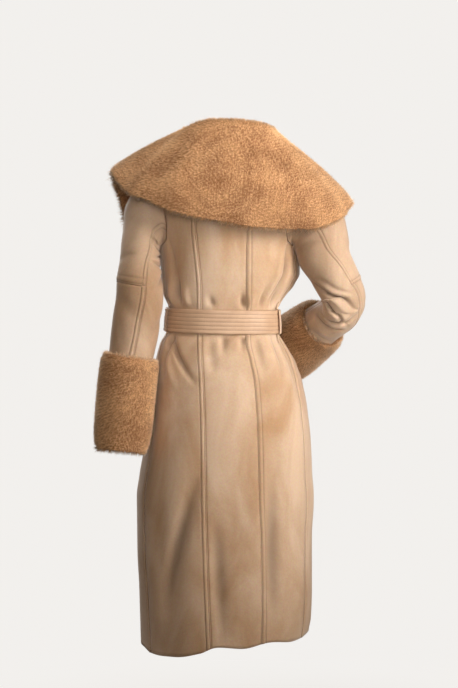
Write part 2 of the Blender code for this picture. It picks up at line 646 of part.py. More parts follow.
def make_body(suede):
    """The back, its sides and the two fronts. The sides and the fronts lap over at a seam."""
    centre = [(share, 0.0) for share in (0, 0.17, 0.33, 0.5, 0.67, 0.83, 1)]
    side_lap = [(share, LAP_RISE) for share in (0, 0.04, 0.08)]
    side_plain = [(share, 0.0) for share in (0.10, 0.30, 0.50, 0.70, 0.88, 1)]
    front_lap = [(share, LAP_RISE) for share in (0, 0.035, 0.07)]
    front_plain = [(share, 0.0)
                   for share in (0.085, 0.20, 0.31, 0.42, 0.53, 0.64, 0.74, 0.83, 0.915, 1)]
    body_panel("back_centre", back_seam("right"), back_seam("left"), centre, suede,
               dip=NECKLINE_DIP)
    for side in ("left", "right"):
        body_panel(f"back_side_{side}", back_seam(side), side_seam(side, "behind"),
                   side_lap + side_plain, suede)
        body_panel(f"front_{side}", side_seam(side, "before"), front_edge(side),
                   front_lap + front_plain, suede,
                   step=over_step if side == "right" else None)


def armhole_edge(side, share_up, edge, out):
    """A point on the straight stretches between the rows of an armhole's edge."""
    rows = side_seam(side, edge)[-len(UPPER_SHARES):]
    place = share_up * (len(rows) - 1)
    row = min(int(place), len(rows) - 2)
    ends = []
    for turn, level in rows[row:row + 2]:
        ends.append(body_point(turn, min(level, SHOULDER_SEAM_LEVEL), out))
    return ends[0].lerp(ends[1], place - row)


def sleeve_lines(table):
    """Smooth lines through the rings of one sleeve, along the share of the way down."""
    names = ("x", "y", "z", "back_x", "back_y", "back_z", "tilt", "deep", "wide")
    shares = np.linspace(0, 1, len(table))
    return {name: smooth_line(shares, [getattr(ring, name) for ring in table]) for name in names}


SLEEVES = {"left": sleeve_lines(LEFT_SLEEVE), "right": sleeve_lines(RIGHT_SLEEVE)}
SLEEVE_SEAM_LINES = {
    "left": column_lines(LEFT_SLEEVE_SEAMS, "share", ("behind", "before")),
    "right": column_lines(RIGHT_SLEEVE_SEAMS, "share", ("behind", "before")),
}
SLEEVE_FOLDS = {"left": LEFT_SLEEVE_FOLDS, "right": RIGHT_SLEEVE_FOLDS}


def sleeve_centre(side, share):
    """The middle of a sleeve's ring."""
    lines = SLEEVES[side]
    return Vector((lines["x"](share), lines["y"](share), lines["z"](share)))


def sleeve_axes(side, share):
    """The middle of a ring, the direction of the arm's back and that of its outer side."""
    lines = SLEEVES[side]
    ahead = sleeve_centre(side, min(share + 0.02, 1.0))
    path = (ahead - sleeve_centre(side, max(share - 0.02, 0.0))).normalized()
    back = Vector((lines["back_x"](share), lines["back_y"](share), lines["back_z"](share)))
    back = (back - path * back.dot(path)).normalized()
    outer = path.cross(back) * (1 if side == "left" else -1)
    tilt = math.radians(lines["tilt"](share))
    outer = outer * math.cos(tilt) - path * math.sin(tilt)
    return sleeve_centre(side, share), back, outer


def sleeve_fold(side, share, around):
    """How far the folds push the sleeve out at one place."""
    total = 0.0
    for fold in SLEEVE_FOLDS[side]:
        off = (around - fold.around + 180) % 360 - 180
        if abs(off) > fold.reach:
            continue
        along = (share - fold.share - fold.slant * off / 100) * SLEEVE_LENGTH / fold.width
        window = math.cos(off / fold.reach * math.pi / 2) ** 2
        total += fold.depth * window * math.exp(-along * along)
    return total


def off_body(place, clearance):
    """The move that takes a point just clear of the body cloth below the armhole."""
    level = place.z
    width = BODY["left"](level) if place.x > 0 else BODY["right"](level)
    y = place.y - BODY["middle"](level)
    depth = BODY["back"](level) if y > 0 else BODY["front"](level)
    across, along = abs(place.x) / width, abs(y) / depth
    reach = (across ** BODY_ROUNDNESS + along ** BODY_ROUNDNESS) ** (1 / BODY_ROUNDNESS)
    behind = math.degrees(math.atan2(across, along if y > 0 else -along))
    if place.x < 0:
        clearance += over_step(behind, level)
    need = 1 + clearance / width * rising((ARMHOLE_CLEAR_LEVEL - level) / ARMHOLE_CLEAR_DROP)
    return Vector((place.x, y, 0)) * max(need / reach - 1, 0)


def sleeve_point(side, share, around, out=0.0):
    """A point of a sleeve: around is in degrees from the back of the arm towards its top."""
    lines = SLEEVES[side]
    centre, back, outer = sleeve_axes(side, share)
    angle = math.radians(around)
    blend = rising(share / ARMHOLE_BLEND)
    lift = out + sleeve_fold(side, share, around) * blend
    places = []
    for rise in (lift - out, lift):
        ring = (centre + back * (lines["deep"](share) + rise) * math.cos(angle)
                + outer * (lines["wide"](share) + rise) * math.sin(angle))
        if blend < 1:
            ring = armhole_start(side, around, rise - lift + out).lerp(ring, blend)
        places.append(ring)
    face, place = places
    if share > 0 and face.z < ARMHOLE_CLEAR_LEVEL:
        place += off_body(face, BODY_CLEAR)
    return place


def armhole_start(side, around, out):
    """Where the sleeve starts, just inside the armhole's edge."""
    up = abs((around + 270) % 360 - 180) / 180
    edge = "behind" if (around + 90) % 360 < 180 else "before"
    if edge == "before" and out >= 0:
        out += LAP_RISE
    hole = armhole_edge(side, up, edge, out)
    middle = sleeve_centre(side, 0)
    inward = Vector((0, middle.y - hole.y, middle.z - hole.z)).normalized()
    outward = Vector((math.copysign(1, middle.x), 0, 0))
    return hole + (inward + outward) * ARMHOLE_GAP


def elbow_seam(side, across):
    """The share of the way down at which the seam crosses the outer piece of a sleeve."""
    return ELBOW_SEAM_SHARE[side] - ELBOW_SEAM_RISE * math.sin(math.pi * across) ** 2


def seam_opening(side, share):
    """How much wider a sleeve's seams stand open near the armhole and in a bent elbow."""
    near_armhole = 1 - rising(share / SEAM_OPENING_REACH)
    opening = 1 + (SEAM_OPENING_AT_ARMHOLE - 1) * near_armhole
    if side == "right":
        off = (share - RIGHT_ELBOW_SHARE) / RIGHT_ELBOW_SPREAD
        opening += SEAM_OPENING_IN_ELBOW * math.exp(-off * off)
    return opening


def sleeve_piece(name, side, piece, part, columns, rows, material):
    """Makes one piece of a sleeve: the top above or below the elbow seam, or the under one.

    Columns and rows hold pairs: a share of the piece's width or length, and how far the
    cloth is raised there.
    """
    seams = SLEEVE_SEAM_LINES[side]
    plain_gap = math.degrees(SEAM_GAP / 2 / MEAN_SLEEVE_RADIUS)
    gap_share = SEAM_GAP / 2 / SLEEVE_LENGTH
    face, back = [], []
    for down, row_raise in rows:
        face_row, back_row = [], []
        for across, column_raise in columns:
            elbow = elbow_seam(side, across if piece == "top" else 0)
            if part == "upper":
                share = down * (elbow - gap_share)
            elif part == "lower":
                share = elbow + gap_share + down * (1 - elbow - gap_share)
            else:
                share = down * elbow if down <= 1 else elbow + (down - 1) * (1 - elbow)
            gap = plain_gap * seam_opening(side, share)
            behind, before = seams["behind"](share), seams["before"](share)
            first, last = (behind, before + 360) if piece == "top" else (before, behind)
            around = first + gap + (last - first - 2 * gap) * across
            lift = max(row_raise, column_raise)
            face_row.append(sleeve_point(side, share, around, lift))
            back_row.append(sleeve_point(side, share, around, -CLOTH_WALL))
        face.append(face_row)
        back.append(back_row)
    return cloth_wall(name, face, back, material)


def make_sleeves(suede):
    """Two sleeves, each of an outer piece cut at the elbow and a piece under the arm."""
    upper_rows = [(share, 0) for share in (0, .07, .15, .23, .32, .42, .52, .61, .70, .78, .85, .91)]
    upper_lap = [(0.968, 0), (0.9755, LAP_RISE), (1, LAP_RISE)]
    lower_rows = [(share, 0) for share in (0, .05, .10, .16, .23, .32, .44, .58, .72, .86, 1)]
    under_rows = ([(share, 0) for share, _ in upper_rows + upper_lap]
                  + [(1 + share, 0) for share, _ in lower_rows[1:]])
    top_columns = ([(0, LAP_RISE), (0.019, LAP_RISE), (0.038, LAP_RISE), (0.045, 0)]
                   + [(step / 10, 0) for step in range(1, 11)])
    under_columns = [(step / 4, 0) for step in range(5)]
    for side in ("left", "right"):
        sleeve_piece(f"sleeve_{side}_top_upper", side, "top", "upper", top_columns,
                     upper_rows + upper_lap, suede)
        sleeve_piece(f"sleeve_{side}_top_lower", side, "top", "lower", top_columns,
                     lower_rows, suede)
        sleeve_piece(f"sleeve_{side}_under", side, "under", "whole", under_columns,
                     under_rows, suede)


def cuff_point(side, up, around, out):
    """A point of a cuff: up is the share of the way from its lower end to its upper one."""
    cuff, lines = CUFFS[side], SLEEVES[side]
    share = 1 - (1 - cuff.start) * up
    centre, back, outer = sleeve_axes(side, share)
    angle = math.radians(around)
    place = (centre + back * (lines["deep"](share) + out) * math.cos(angle)
             + outer * (lines["wide"](share) + out) * math.sin(angle))
    if out > CUFF_CLEAR_HIGH:
        place += off_body(place, FUR_CLEAR)
    return place


def make_cuffs(fur):
    """The turned-back fur cuffs, each one round wall."""
    for side in ("left", "right"):
        cuff = CUFFS[side]
        sections = []
        for step in range(CUFF_SEGMENTS):
            around = 360 / CUFF_SEGMENTS * step
            section = []
            for up, sink in CUFF_FACE:
                out = cuff.out_low + (cuff.out_high - cuff.out_low) * up - sink
                out += cuff.swell * math.sin(math.pi * up)
                section.append(cuff_point(side, up, around, out))
            for up in CUFF_LINING_ROWS:
                clear = CUFF_CLEAR_LOW + (CUFF_CLEAR_HIGH - CUFF_CLEAR_LOW) * up
                section.append(cuff_point(side, up, around, clear))
            sections.append(section)
        ring_band(f"cuff_{side}", sections, fur)


def collar_seam_point(station):
    """Where the collar is sewn on, at one station."""
    if station.place == "neck":
        share = station.seam / NECK_POINT_TURN
        level = SHOULDER_SEAM_LEVEL - NECKLINE_DIP * (1 - share * share)
        return body_point(station.seam, level, COLLAR_SEAT) + Vector((0, 0, COLLAR_SEAT))
    sign = 1 if station.place == "left" else -1
    turn = turn_at(sign * FRONT_LINE(station.seam), station.seam)
    out = COLLAR_SEAT + (over_step(180, station.seam) + RIGHT_LAPEL_LIFT if sign < 0 else 0)
    turn = math.copysign(180, sign) - turn - sign * LAPEL_SEAM_INSET
    return body_point(turn, station.seam, out)


def collar_lines():
    """Smooth lines along the collar for its seam, roll, outer edge, swell and inner side."""
    places = range(len(COLLAR))
    lines = {name: smooth_line(places, [getattr(row, name) for row in COLLAR])
             for name in ("roll_x", "roll_y", "roll_z", "edge_x", "edge_y", "edge_z", "swell")}
    seams = [collar_seam_point(row) for row in COLLAR]
    inner = []
    for row, seam in zip(COLLAR, seams):
        if row.place == "neck":
            towards = Vector((NECK_MIDDLE[0] - seam.x, NECK_MIDDLE[1] - seam.y, 0))
            inner.append(towards.normalized())
        else:
            inner.append(Vector((-1 if row.place == "left" else 1, 0, 0)))
    for axis in range(3):
        letter = "xyz"[axis]
        lines[f"seam_{letter}"] = smooth_line(places, [seam[axis] for seam in seams])
        lines[f"inner_{letter}"] = smooth_line(places, [side[axis] for side in inner])
    return lines


COLLAR_LINES = collar_lines()


def collar_vector(name, place):
    """A point or a direction of the collar at one place along it."""
    return Vector([COLLAR_LINES[f"{name}_{letter}"](place) for letter in "xyz"])


def collar_section(place):
    """The collar's section at one place: its fur face and its underside, from the seam out."""
    seam, roll, edge = (collar_vector(name, place) for name in ("seam", "roll", "edge"))
    inner = collar_vector("inner", place).normalized()
    ahead, behind = min(place + 0.3, len(COLLAR) - 1), max(place - 0.3, 0)
    along = (collar_vector("roll", ahead) + collar_vector("edge", ahead)
             - collar_vector("roll", behind) - collar_vector("edge", behind)).normalized()
    fall = edge - roll
    down = fall.normalized()
    outward = down.cross(along).normalized()
    rise = roll - seam
    neck_share = rising((rise.length - STAND_START) / STAND_BLEND)
    top = (rise.normalized() - down).normalized()
    under_roll = roll - top * COLLAR_ROLL_THICKNESS
    face, back = [], []
    for share in (0.0, 0.35, 0.70):
        neck_back = seam.lerp(under_roll, share)
        neck_face = neck_back + inner * (STAND_THICKNESS + STAND_TAPER * share)
        bulge = inner * STAND_TAPER * math.sin(math.pi * share)
        pad_face = seam.lerp(roll, 0.25 + share) + bulge
        pad_back = seam + down * LAPEL_PAD * share
        face.append(pad_face.lerp(neck_face, neck_share))
        back.append(pad_back.lerp(neck_back, neck_share))
    face.append(roll)
    back.append((seam + down * (LAPEL_PAD + 0.001)).lerp(under_roll, neck_share))
    swell = COLLAR_LINES["swell"](place)
    thickest = COLLAR_THICKNESS * (0.25 + fall.length / SHORTEST_FULL_FALL)
    for share, thickness, sink in COLLAR_FALL:
        thickness = min(thickness, thickest)
        place_out = swell * 4 * share * (1 - share) - sink
        middle = roll + fall * share + outward * place_out
        face.append(middle)
        back.append(middle - outward * thickness)
    return face, back


def make_collar(fur):
    """The shawl collar, one wall from the left lapel round the neck to the right one."""
    places = np.linspace(0, len(COLLAR) - 1, COLLAR_ROWS)
    sections = [collar_section(place) for place in places]
    cloth_wall("collar", [face for face, _ in sections], [back for _, back in sections], fur)


def belt_seat(turn):
    """How far the belt's inner side lies outside the plain cloth, and over its own end."""
    wrapped = (turn + 180) % 360 - 180
    over = BELT_THICKNESS + BELT_RIB_DEPTH + BELT_EASE
    over *= rising((turn - BELT_LAP_START) / BELT_LAP_TURN)
    return BELT_SEAT + over_step(wrapped, BELT_TOP) + over


def belt_point(turn, across, out):
    """A point of the belt: across runs from its lower edge to its upper one."""
    level = BELT_TOP - BELT_WIDTH * (1 - across)
    return plain_body(turn, level) + body_normal(turn, level) * (belt_seat(turn) + out)


def make_belt(leather):
    """The channelled belt, once round the waist, with its tail over its first end."""
    turns = np.linspace(BELT_START_TURN, BELT_END_TURN, BELT_ROWS)
    across = np.linspace(0, 1, 2 * BELT_CHANNELS + 1)
    face, back = [], []
    for turn in turns:
        tail = rising((turn - BELT_END_TURN) / BELT_TAIL_TURN + 1)
        narrow = 1 - BELT_TAIL_NARROWING * tail
        face_row, back_row = [], []
        for column, share in enumerate(across):
            share = 0.5 + (share - 0.5) * narrow
            rib = BELT_RIB_DEPTH if column % 2 else 0.0
            face_row.append(belt_point(turn, share, BELT_THICKNESS + rib))
            back_row.append(belt_point(turn, share, 0.0))
        face.append(face_row)
        back.append(back_row)
    cloth_wall("belt", face, back, leather)


# The covered frame's section: shares of its half width and of its thickness
BUCKLE_SECTION = (
    (-1, 0.25), (-1, 0.75), (-0.7, 1), (0.7, 1), (1, 0.75), (1, 0.25), (0.7, 0), (-0.7, 0),
)


def make_buckle(leather):
    """A plain covered frame that lies round the belt at the middle of the front."""
    half_long = (BUCKLE_LENGTH - BUCKLE_BAR) / 2
    half_high = BELT_WIDTH / 2 + BUCKLE_MARGIN + BUCKLE_BAR / 2
    corner = BUCKLE_CORNER
    path = []
    for corner_x, corner_z, start in ((1, 1, 0), (-1, 1, 90), (-1, -1, 180), (1, -1, 270)):
        for angle in (0, 30, 60, 90):
            turn = math.radians(start + angle)
            path.append((corner_x * (half_long - corner) + corner * math.cos(turn),
                         corner_z * (half_high - corner) + corner * math.sin(turn)))
    count = len(path)
    sections = []
    for row, (x, z) in enumerate(path):
        after, before = path[(row + 1) % count], path[row - 1]
        along = Vector((after[0] - before[0], after[1] - before[1])).normalized()
        section = []
        for side, out in BUCKLE_SECTION:
            spot_x = x + along.y * side * BUCKLE_BAR / 2
            spot_z = z - along.x * side * BUCKLE_BAR / 2
            share = 0.5 + spot_z / BELT_WIDTH
            turn = 180 - turn_at(spot_x, BELT_TOP)
            seat = BELT_THICKNESS + BELT_RIB_DEPTH + BUCKLE_GAP + BUCKLE_THICKNESS * out
            seat += belt_seat(BUCKLE_SEAT_TURN) - belt_seat(turn)
            section.append(belt_point(turn, share, seat))
        sections.append(section)
    ring_band("buckle", sections, leather)


def make_belt_loops(suede):
    """A narrow carrier of cloth at each side seam, standing off the belt."""
    outer = BELT_SEAT + BELT_THICKNESS + BELT_RIB_DEPTH + LOOP_STAND_OFF
    foot = ((0.0200, 0.0009), (0.0120, 0.0011), (0.0055, 0.45 * outer), (-0.0015, outer))
    arch = list(foot)
    arch.append((-0.5 * BELT_WIDTH, outer + 0.0008))
    arch.extend((-BELT_WIDTH - rise, out) for rise, out in reversed(foot))
    for side in ("left", "right"):
        sign = 1 if side == "left" else -1
        middle = sign * (SIDE_LINES[side](BELT_TOP) - LOOP_BEHIND_SEAM)
        face, back = [], []
        for rise, out in arch:
            level = BELT_TOP + rise
            radius = BODY[side](level)
            half = math.degrees(LOOP_WIDTH / 2 / radius)
            turns = [middle - half, middle, middle + half]
            face.append([body_point(turn, level, out + LOOP_THICKNESS) for turn in turns])
            back.append([body_point(turn, level, out) for turn in turns])
        cloth_wall(f"belt_loop_{side}", face, back, suede)


for existing in list(bpy.data.objects):
    bpy.data.objects.remove(existing)
coat = bpy.data.collections.new("belted_midi_coat")
bpy.context.scene.collection.children.link(coat)
suede_cloth = principled("faux_suede", SUEDE, 0.85, 0.6)
long_fur = principled("faux_fur", FUR, 0.95, 0.8)
belt_leather = principled("faux_leather", LEATHER, 0.45, 0.0)
make_body(suede_cloth)
make_sleeves(suede_cloth)
make_cuffs(long_fur)
make_collar(long_fur)
make_belt(belt_leather)
make_buckle(belt_leather)
make_belt_loops(suede_cloth)
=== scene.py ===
import math
from collections import namedtuple

import bmesh
import bpy
import numpy as np
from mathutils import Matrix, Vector


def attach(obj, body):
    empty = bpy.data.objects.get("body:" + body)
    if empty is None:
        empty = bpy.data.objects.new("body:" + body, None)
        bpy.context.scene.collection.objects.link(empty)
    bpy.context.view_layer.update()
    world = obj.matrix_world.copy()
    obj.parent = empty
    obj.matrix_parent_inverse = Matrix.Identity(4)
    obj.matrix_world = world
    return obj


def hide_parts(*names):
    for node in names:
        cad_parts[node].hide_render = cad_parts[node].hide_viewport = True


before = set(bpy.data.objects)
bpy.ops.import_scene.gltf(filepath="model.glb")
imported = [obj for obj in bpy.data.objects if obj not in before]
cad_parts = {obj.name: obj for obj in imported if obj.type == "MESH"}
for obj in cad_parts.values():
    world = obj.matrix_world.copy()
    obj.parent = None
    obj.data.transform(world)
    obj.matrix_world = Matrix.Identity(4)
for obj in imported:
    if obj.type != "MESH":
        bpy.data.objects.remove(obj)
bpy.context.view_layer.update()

# The back of the coat. Three long panels of bonded faux suede, the middle one between two
# sides that lap over it: each long seam is a raised lap with a row of stitches at its edge
# and another 7.5 mm away. Every later piece of cloth is laid on the same rings and folds.


def named_rows(columns, rows):
    """Names the columns of a table."""
    row_kind = namedtuple("Row", columns)
    return [row_kind(*row) for row in rows]


# Rings of the body from the hem up: half sizes from the middle line, and the lean that
# lowers the wearer's left side, in metres per metre.
BODY_RINGS = named_rows("level left right middle back front lean", (
    (-1.128, 0.192, 0.192, -0.020, 0.176, 0.150, -0.087),
    (-1.100, 0.193, 0.197, -0.020, 0.176, 0.150, -0.080),
    (-1.000, 0.196, 0.200, -0.020, 0.174, 0.148, -0.060),
    (-0.900, 0.200, 0.201, -0.020, 0.170, 0.145, -0.040),
    (-0.820, 0.200, 0.205, -0.020, 0.166, 0.142, -0.020),
    (-0.760, 0.194, 0.201, -0.020, 0.162, 0.138, -0.010),
    (-0.700, 0.183, 0.198, -0.020, 0.158, 0.134, 0.000),
    (-0.620, 0.172, 0.190, -0.019, 0.151, 0.128, 0.005),
    (-0.560, 0.166, 0.180, -0.018, 0.144, 0.122, 0.010),
    (-0.510, 0.160, 0.166, -0.016, 0.136, 0.114, 0.015),
    (-0.470, 0.152, 0.146, -0.013, 0.125, 0.104, 0.020),
    (-0.440, 0.138, 0.127, -0.010, 0.113, 0.096, 0.020),
    (-0.434, 0.1335, 0.1235, -0.010, 0.110, 0.094, 0.020),
    (-0.405, 0.131, 0.122, -0.010, 0.109, 0.093, 0.020),
    (-0.378, 0.129, 0.1205, -0.010, 0.109, 0.094, 0.020),
    (-0.368, 0.133, 0.125, -0.011, 0.112, 0.097, 0.020),
    (-0.345, 0.141, 0.140, -0.013, 0.118, 0.102, 0.015),
    (-0.320, 0.144, 0.160, -0.015, 0.123, 0.105, 0.010),
    (-0.290, 0.145, 0.171, -0.015, 0.126, 0.107, 0.000),
    (-0.235, 0.152, 0.166, -0.015, 0.129, 0.108, 0.000),
    (-0.180, 0.164, 0.166, -0.014, 0.129, 0.106, 0.000),
    (-0.130, 0.176, 0.178, -0.010, 0.123, 0.100, 0.000),
    (-0.060, 0.186, 0.188, -0.006, 0.120, 0.094, 0.000),
    (0.070, 0.190, 0.190, 0.000, 0.120, 0.092, 0.000),
))

# How far the hem drops (or lifts) round the skirt, by the turn from the centre of the back.
HEM = named_rows("turn drop", (
    (-180, 0.0),
    (-78, -0.004),
    (-48, -0.007),
    (-24, 0.004),
    (-9, -0.002),
    (7, 0.007),
    (18, -0.004),
    (42, -0.011),
    (62, -0.008),
    (80, 0.0),
    (180, 0.0),
))

# Where each long seam of the back runs, towards the wearer's left from the middle.
BACK_SEAMS = named_rows("level left right", (
    (-1.128, 0.041, -0.071),
    (-1.037, 0.045, -0.073),
    (-0.915, 0.049, -0.072),
    (-0.795, 0.052, -0.067),
    (-0.686, 0.053, -0.065),
    (-0.563, 0.055, -0.060),
    (-0.485, 0.058, -0.048),
    (-0.440, 0.059, -0.040),
    (-0.355, 0.059, -0.041),
    (-0.260, 0.066, -0.041),
    (-0.168, 0.074, -0.041),
    (-0.060, 0.077, -0.055),
    (0.070, 0.075, -0.075),
))

# Where the side seams run, in degrees from the centre of the back.
SIDE_SEAMS = named_rows("level left right", (
    (-1.128, 62.0, 59.0),
    (-0.800, 67.0, 60.0),
    (-0.560, 70.0, 63.0),
    (-0.405, 75.0, 71.0),
    (-0.300, 73.0, 64.0),
    (-0.235, 72.0, 64.0),
))

# Each armhole's edge from the underarm to the shoulder tip, behind and before the arm.
ARMHOLE = named_rows("level behind before", (
    (-0.235, 0.0, 0.0),
    (-0.228, -8.0, 16.0),
    (-0.205, -14.0, 33.0),
    (-0.165, -17.0, 44.0),
    (-0.110, -17.0, 50.0),
    (-0.050, -15.0, 51.0),
    (0.010, -12.0, 50.0),
    (0.070, -8.0, 49.0),
))

# Folds of the body cloth: a negative depth is a trough. Swell is below one where the fold
# is deepest near its upper end.
FOLDS = named_rows("turn_high level_high turn_low level_low width depth swell", (
    (47, -0.270, 51, -0.374, 0.008, -0.0130, 1.9),
    (59, -0.290, 62, -0.374, 0.009, 0.0070, 2.0),
    (39, -0.310, 40, -0.374, 0.009, 0.0050, 2.0),
    (-10, -0.325, -13, -0.374, 0.006, -0.0090, 2.0),
    (-22, -0.330, -20, -0.374, 0.008, 0.0050, 2.0),
    (-31, -0.300, -34, -0.374, 0.007, -0.0085, 2.1),
    (-50, -0.300, -52, -0.374, 0.008, -0.0105, 2.1),
    (15, -0.335, 14, -0.374, 0.008, -0.0060, 2.0),
    (-57, -0.215, -42, -0.372, 0.009, -0.0115, 0.9),
    (-46, -0.225, -33, -0.372, 0.010, 0.0055, 0.9),
    (56, -0.215, 52, -0.330, 0.011, -0.0060, 0.8),
    (100, -0.300, 98, -0.374, 0.012, -0.0070, 2.0),
    (122, -0.305, 124, -0.374, 0.012, -0.0060, 2.0),
    (-100, -0.300, -98, -0.374, 0.012, -0.0070, 2.0),
    (-124, -0.305, -121, -0.374, 0.012, -0.0060, 2.0),
    (60, -0.436, 59, -0.540, 0.009, -0.0125, 0.5),
    (58, -0.437, 24, -0.545, 0.008, -0.0110, 0.8),
    (68, -0.436, 43, -0.560, 0.011, 0.0070, 0.7),
    (3, -0.436, 4, -0.480, 0.007, -0.0075, 0.5),
    (-13, -0.436, -10, -0.475, 0.007, -0.0075, 0.5),
    (14, -0.438, 11, -0.520, 0.011, -0.0050, 0.8),
    (-27, -0.438, -25, -0.520, 0.010, -0.0065, 0.7),
    (-52, -0.436, -44, -0.540, 0.010, -0.0070, 0.6),
    (-66, -0.436, -58, -0.600, 0.012, -0.0070, 0.6),
    (100, -0.436, 104, -0.560, 0.014, -0.0080, 0.6),
    (126, -0.436, 130, -0.560, 0.014, -0.0070, 0.6),
    (-100, -0.436, -105, -0.560, 0.014, -0.0080, 0.6),
    (-126, -0.436, -130, -0.560, 0.014, -0.0070, 0.6),
    (20, -0.740, 46, -1.060, 0.019, -0.0110, 1.0),
    (8, -0.820, 4, -1.125, 0.014, -0.0080, 1.1),
    (-25, -0.740, -28, -1.110, 0.017, -0.0100, 0.9),
    (-38, -0.600, -36, -0.760, 0.020, 0.0050, 1.0),
    (-52, -0.900, -48, -1.128, 0.024, 0.0050, 1.2),
    (60, -0.760, 52, -1.128, 0.026, 0.0050, 1.3),
    (110, -0.640, 118, -1.120, 0.034, -0.0080, 1.2),
    (142, -0.700, 138, -1.120, 0.032, -0.0070, 1.2),
    (-112, -0.640, -120, -1.120, 0.034, -0.0080, 1.2),
    (-146, -0.720, -140, -1.120, 0.030, -0.0060, 1.2),
))

SHOULDER_SPRING = -0.130
SHOULDER_ARC = 0.200
SHOULDER_RISE = 0.142
SHOULDER_SLOPE = 0.36
BODY_ROUNDNESS = 2.2
SHOULDER_LEVEL = SHOULDER_SPRING + SHOULDER_ARC
TOP_ROW_LEVEL = SHOULDER_LEVEL - 0.004
SHOULDER_SEAM_LEVEL = SHOULDER_LEVEL - 0.0005
HEM_LEVEL = -1.128
HEM_BLEND = 0.0406
UNDERARM_LEVEL = -0.235
SHOULDER_TIP_TURN = 62.0
NECKLINE_DIP = 0.093
WAIST_ROWS_START = -0.450
WAIST_ROWS_END = -0.262
SKIRT_ROW_STEP = 0.0072
WAIST_ROW_STEP = 0.0048
LOWER_LEVELS = np.concatenate((np.arange(HEM_LEVEL, WAIST_ROWS_START, SKIRT_ROW_STEP),
                               np.arange(WAIST_ROWS_START, WAIST_ROWS_END, WAIST_ROW_STEP)))
UPPER_SHARES = np.linspace(0, 1, 48)
SEAM_LEVELS = np.concatenate(
    (LOWER_LEVELS, UNDERARM_LEVEL + (SHOULDER_LEVEL - UNDERARM_LEVEL) * UPPER_SHARES))
CLOTH_THICKNESS = 0.0022
DEEP_CREASE = 0.010
SLACK_HEIGHT = 0.0006
SLACK_WAVES = named_rows("across down start", (
    (2.1, 5.3, 0.4),
    (3.7, -8.9, 1.9),
    (6.3, 13.7, 4.1),
))
SLACK_BLEND = 0.3
SLACK_ABOVE_UNDERARM = 0.35
NEAR_LEVEL = 0.002
NEAR_TURN = 0.5

# The wearer's sides, and which way each of them lies along x.
SIDES = {"left": 1, "right": -1}


def smooth_line(places, values):
    """Returns a function that follows the table's values on a curve without overshoot."""
    places, values = np.asarray(places, float), np.asarray(values, float)
    steps = np.diff(places)
    slopes = np.diff(values) / steps
    tangents = np.zeros(len(places))
    tangents[0], tangents[-1] = slopes[0], slopes[-1]
    before, after = slopes[:-1], slopes[1:]
    same = before * after > 0
    tangents[1:-1][same] = 2 * before[same] * after[same] / (before[same] + after[same])

    def value_at(place):
        row = np.clip(np.searchsorted(places, place) - 1, 0, len(steps) - 1)
        share = np.clip((place - places[row]) / steps[row], 0.0, 1.0)
        start = values[row] + share * steps[row] * tangents[row]
        end = values[row + 1] - (1 - share) * steps[row] * tangents[row + 1]
        return start + (end - start) * share * share * (3 - 2 * share)

    return value_at


def column_lines(table, places, names=None):
    """Makes a smooth line for each column of a table, along one of them or given places."""
    if isinstance(places, str):
        places = [getattr(row, places) for row in table]
    return {name: smooth_line(places, [getattr(row, name) for row in table])
            for name in names or table[0]._fields}


def rising(share):
    """Eases from 0 to 1."""
    share = np.clip(share, 0.0, 1.0)
    return share * share * (3 - 2 * share)


def lengths(vectors):
    """The lengths of vectors, each in a last axis of one."""
    return np.linalg.norm(vectors, axis=-1, keepdims=True)


def unit(vectors):
    """The directions of vectors."""
    return vectors / np.maximum(lengths(vectors), 1e-12)


def signed_power(values, power):
    """Powers of values that keep their signs."""
    return np.sign(values) * abs(values) ** power


BODY = column_lines(BODY_RINGS, "level")
BACK_LINES = column_lines(BACK_SEAMS, "level")
SIDE_LINES = column_lines(SIDE_SEAMS, "level")
HEM_LINE = column_lines(HEM, "turn")["drop"]
ARMHOLE_LINES = column_lines(ARMHOLE, range(len(ARMHOLE)))


def body_width(on_left, level):
    """How far the body's rings reach to the left or to the right."""
    return np.where(on_left, BODY["left"](level), BODY["right"](level))


def body_depth(behind, level):
    """How far the body's rings reach back or forward."""
    return np.where(behind, BODY["back"](level), BODY["front"](level))


def wrapped(turn):
    """A turn between -180 and 180 degrees."""
    return (turn + 180) % 360 - 180


def plain_body(turn, level):
    """Points of the body cloth before its folds."""
    across, along = np.sin(np.radians(turn)), np.cos(np.radians(turn))
    over = np.clip((level - SHOULDER_SPRING) / SHOULDER_ARC, 0.0, 1.0) * math.pi / 2
    power = 2 / BODY_ROUNDNESS
    x = body_width(across > 0, level) * signed_power(across, power)
    y = body_depth(along > 0, level) * signed_power(along, power) + BODY["middle"](level)
    height = np.minimum(level, SHOULDER_SPRING) + SHOULDER_RISE * np.sin(over)
    slope = SHOULDER_SLOPE * np.sin(over) ** 2
    return np.stack((x, y * np.cos(over),
                     height + BODY["lean"](level) * x - slope * abs(x)), axis=-1)


def body_normal(turn, level):
    """The directions out of the body cloth, before its folds."""
    high = np.minimum(level + NEAR_LEVEL, TOP_ROW_LEVEL)
    along = plain_body(turn, high) - plain_body(turn, high - 2 * NEAR_LEVEL)
    across = plain_body(turn + NEAR_TURN, level) - plain_body(turn - NEAR_TURN, level)
    out = unit(np.cross(along, across))
    return np.where((level > TOP_ROW_LEVEL)[..., None], (0.0, 0.0, 1.0), out)


def fold_height(turn, level):
    """How far the folds push the cloth out."""
    total = 0.0
    width = BODY["left"](level)
    for fold in FOLDS:
        share = np.clip((fold.level_high - level) / (fold.level_high - fold.level_low), 0, 1)
        centre = fold.turn_high + (fold.turn_low - fold.turn_high) * share
        across = np.radians(wrapped(turn) - centre) * width / fold.width
        window = np.sin(math.pi * share ** fold.swell)
        total = total + fold.depth * window * np.exp(-across * across)
    return total


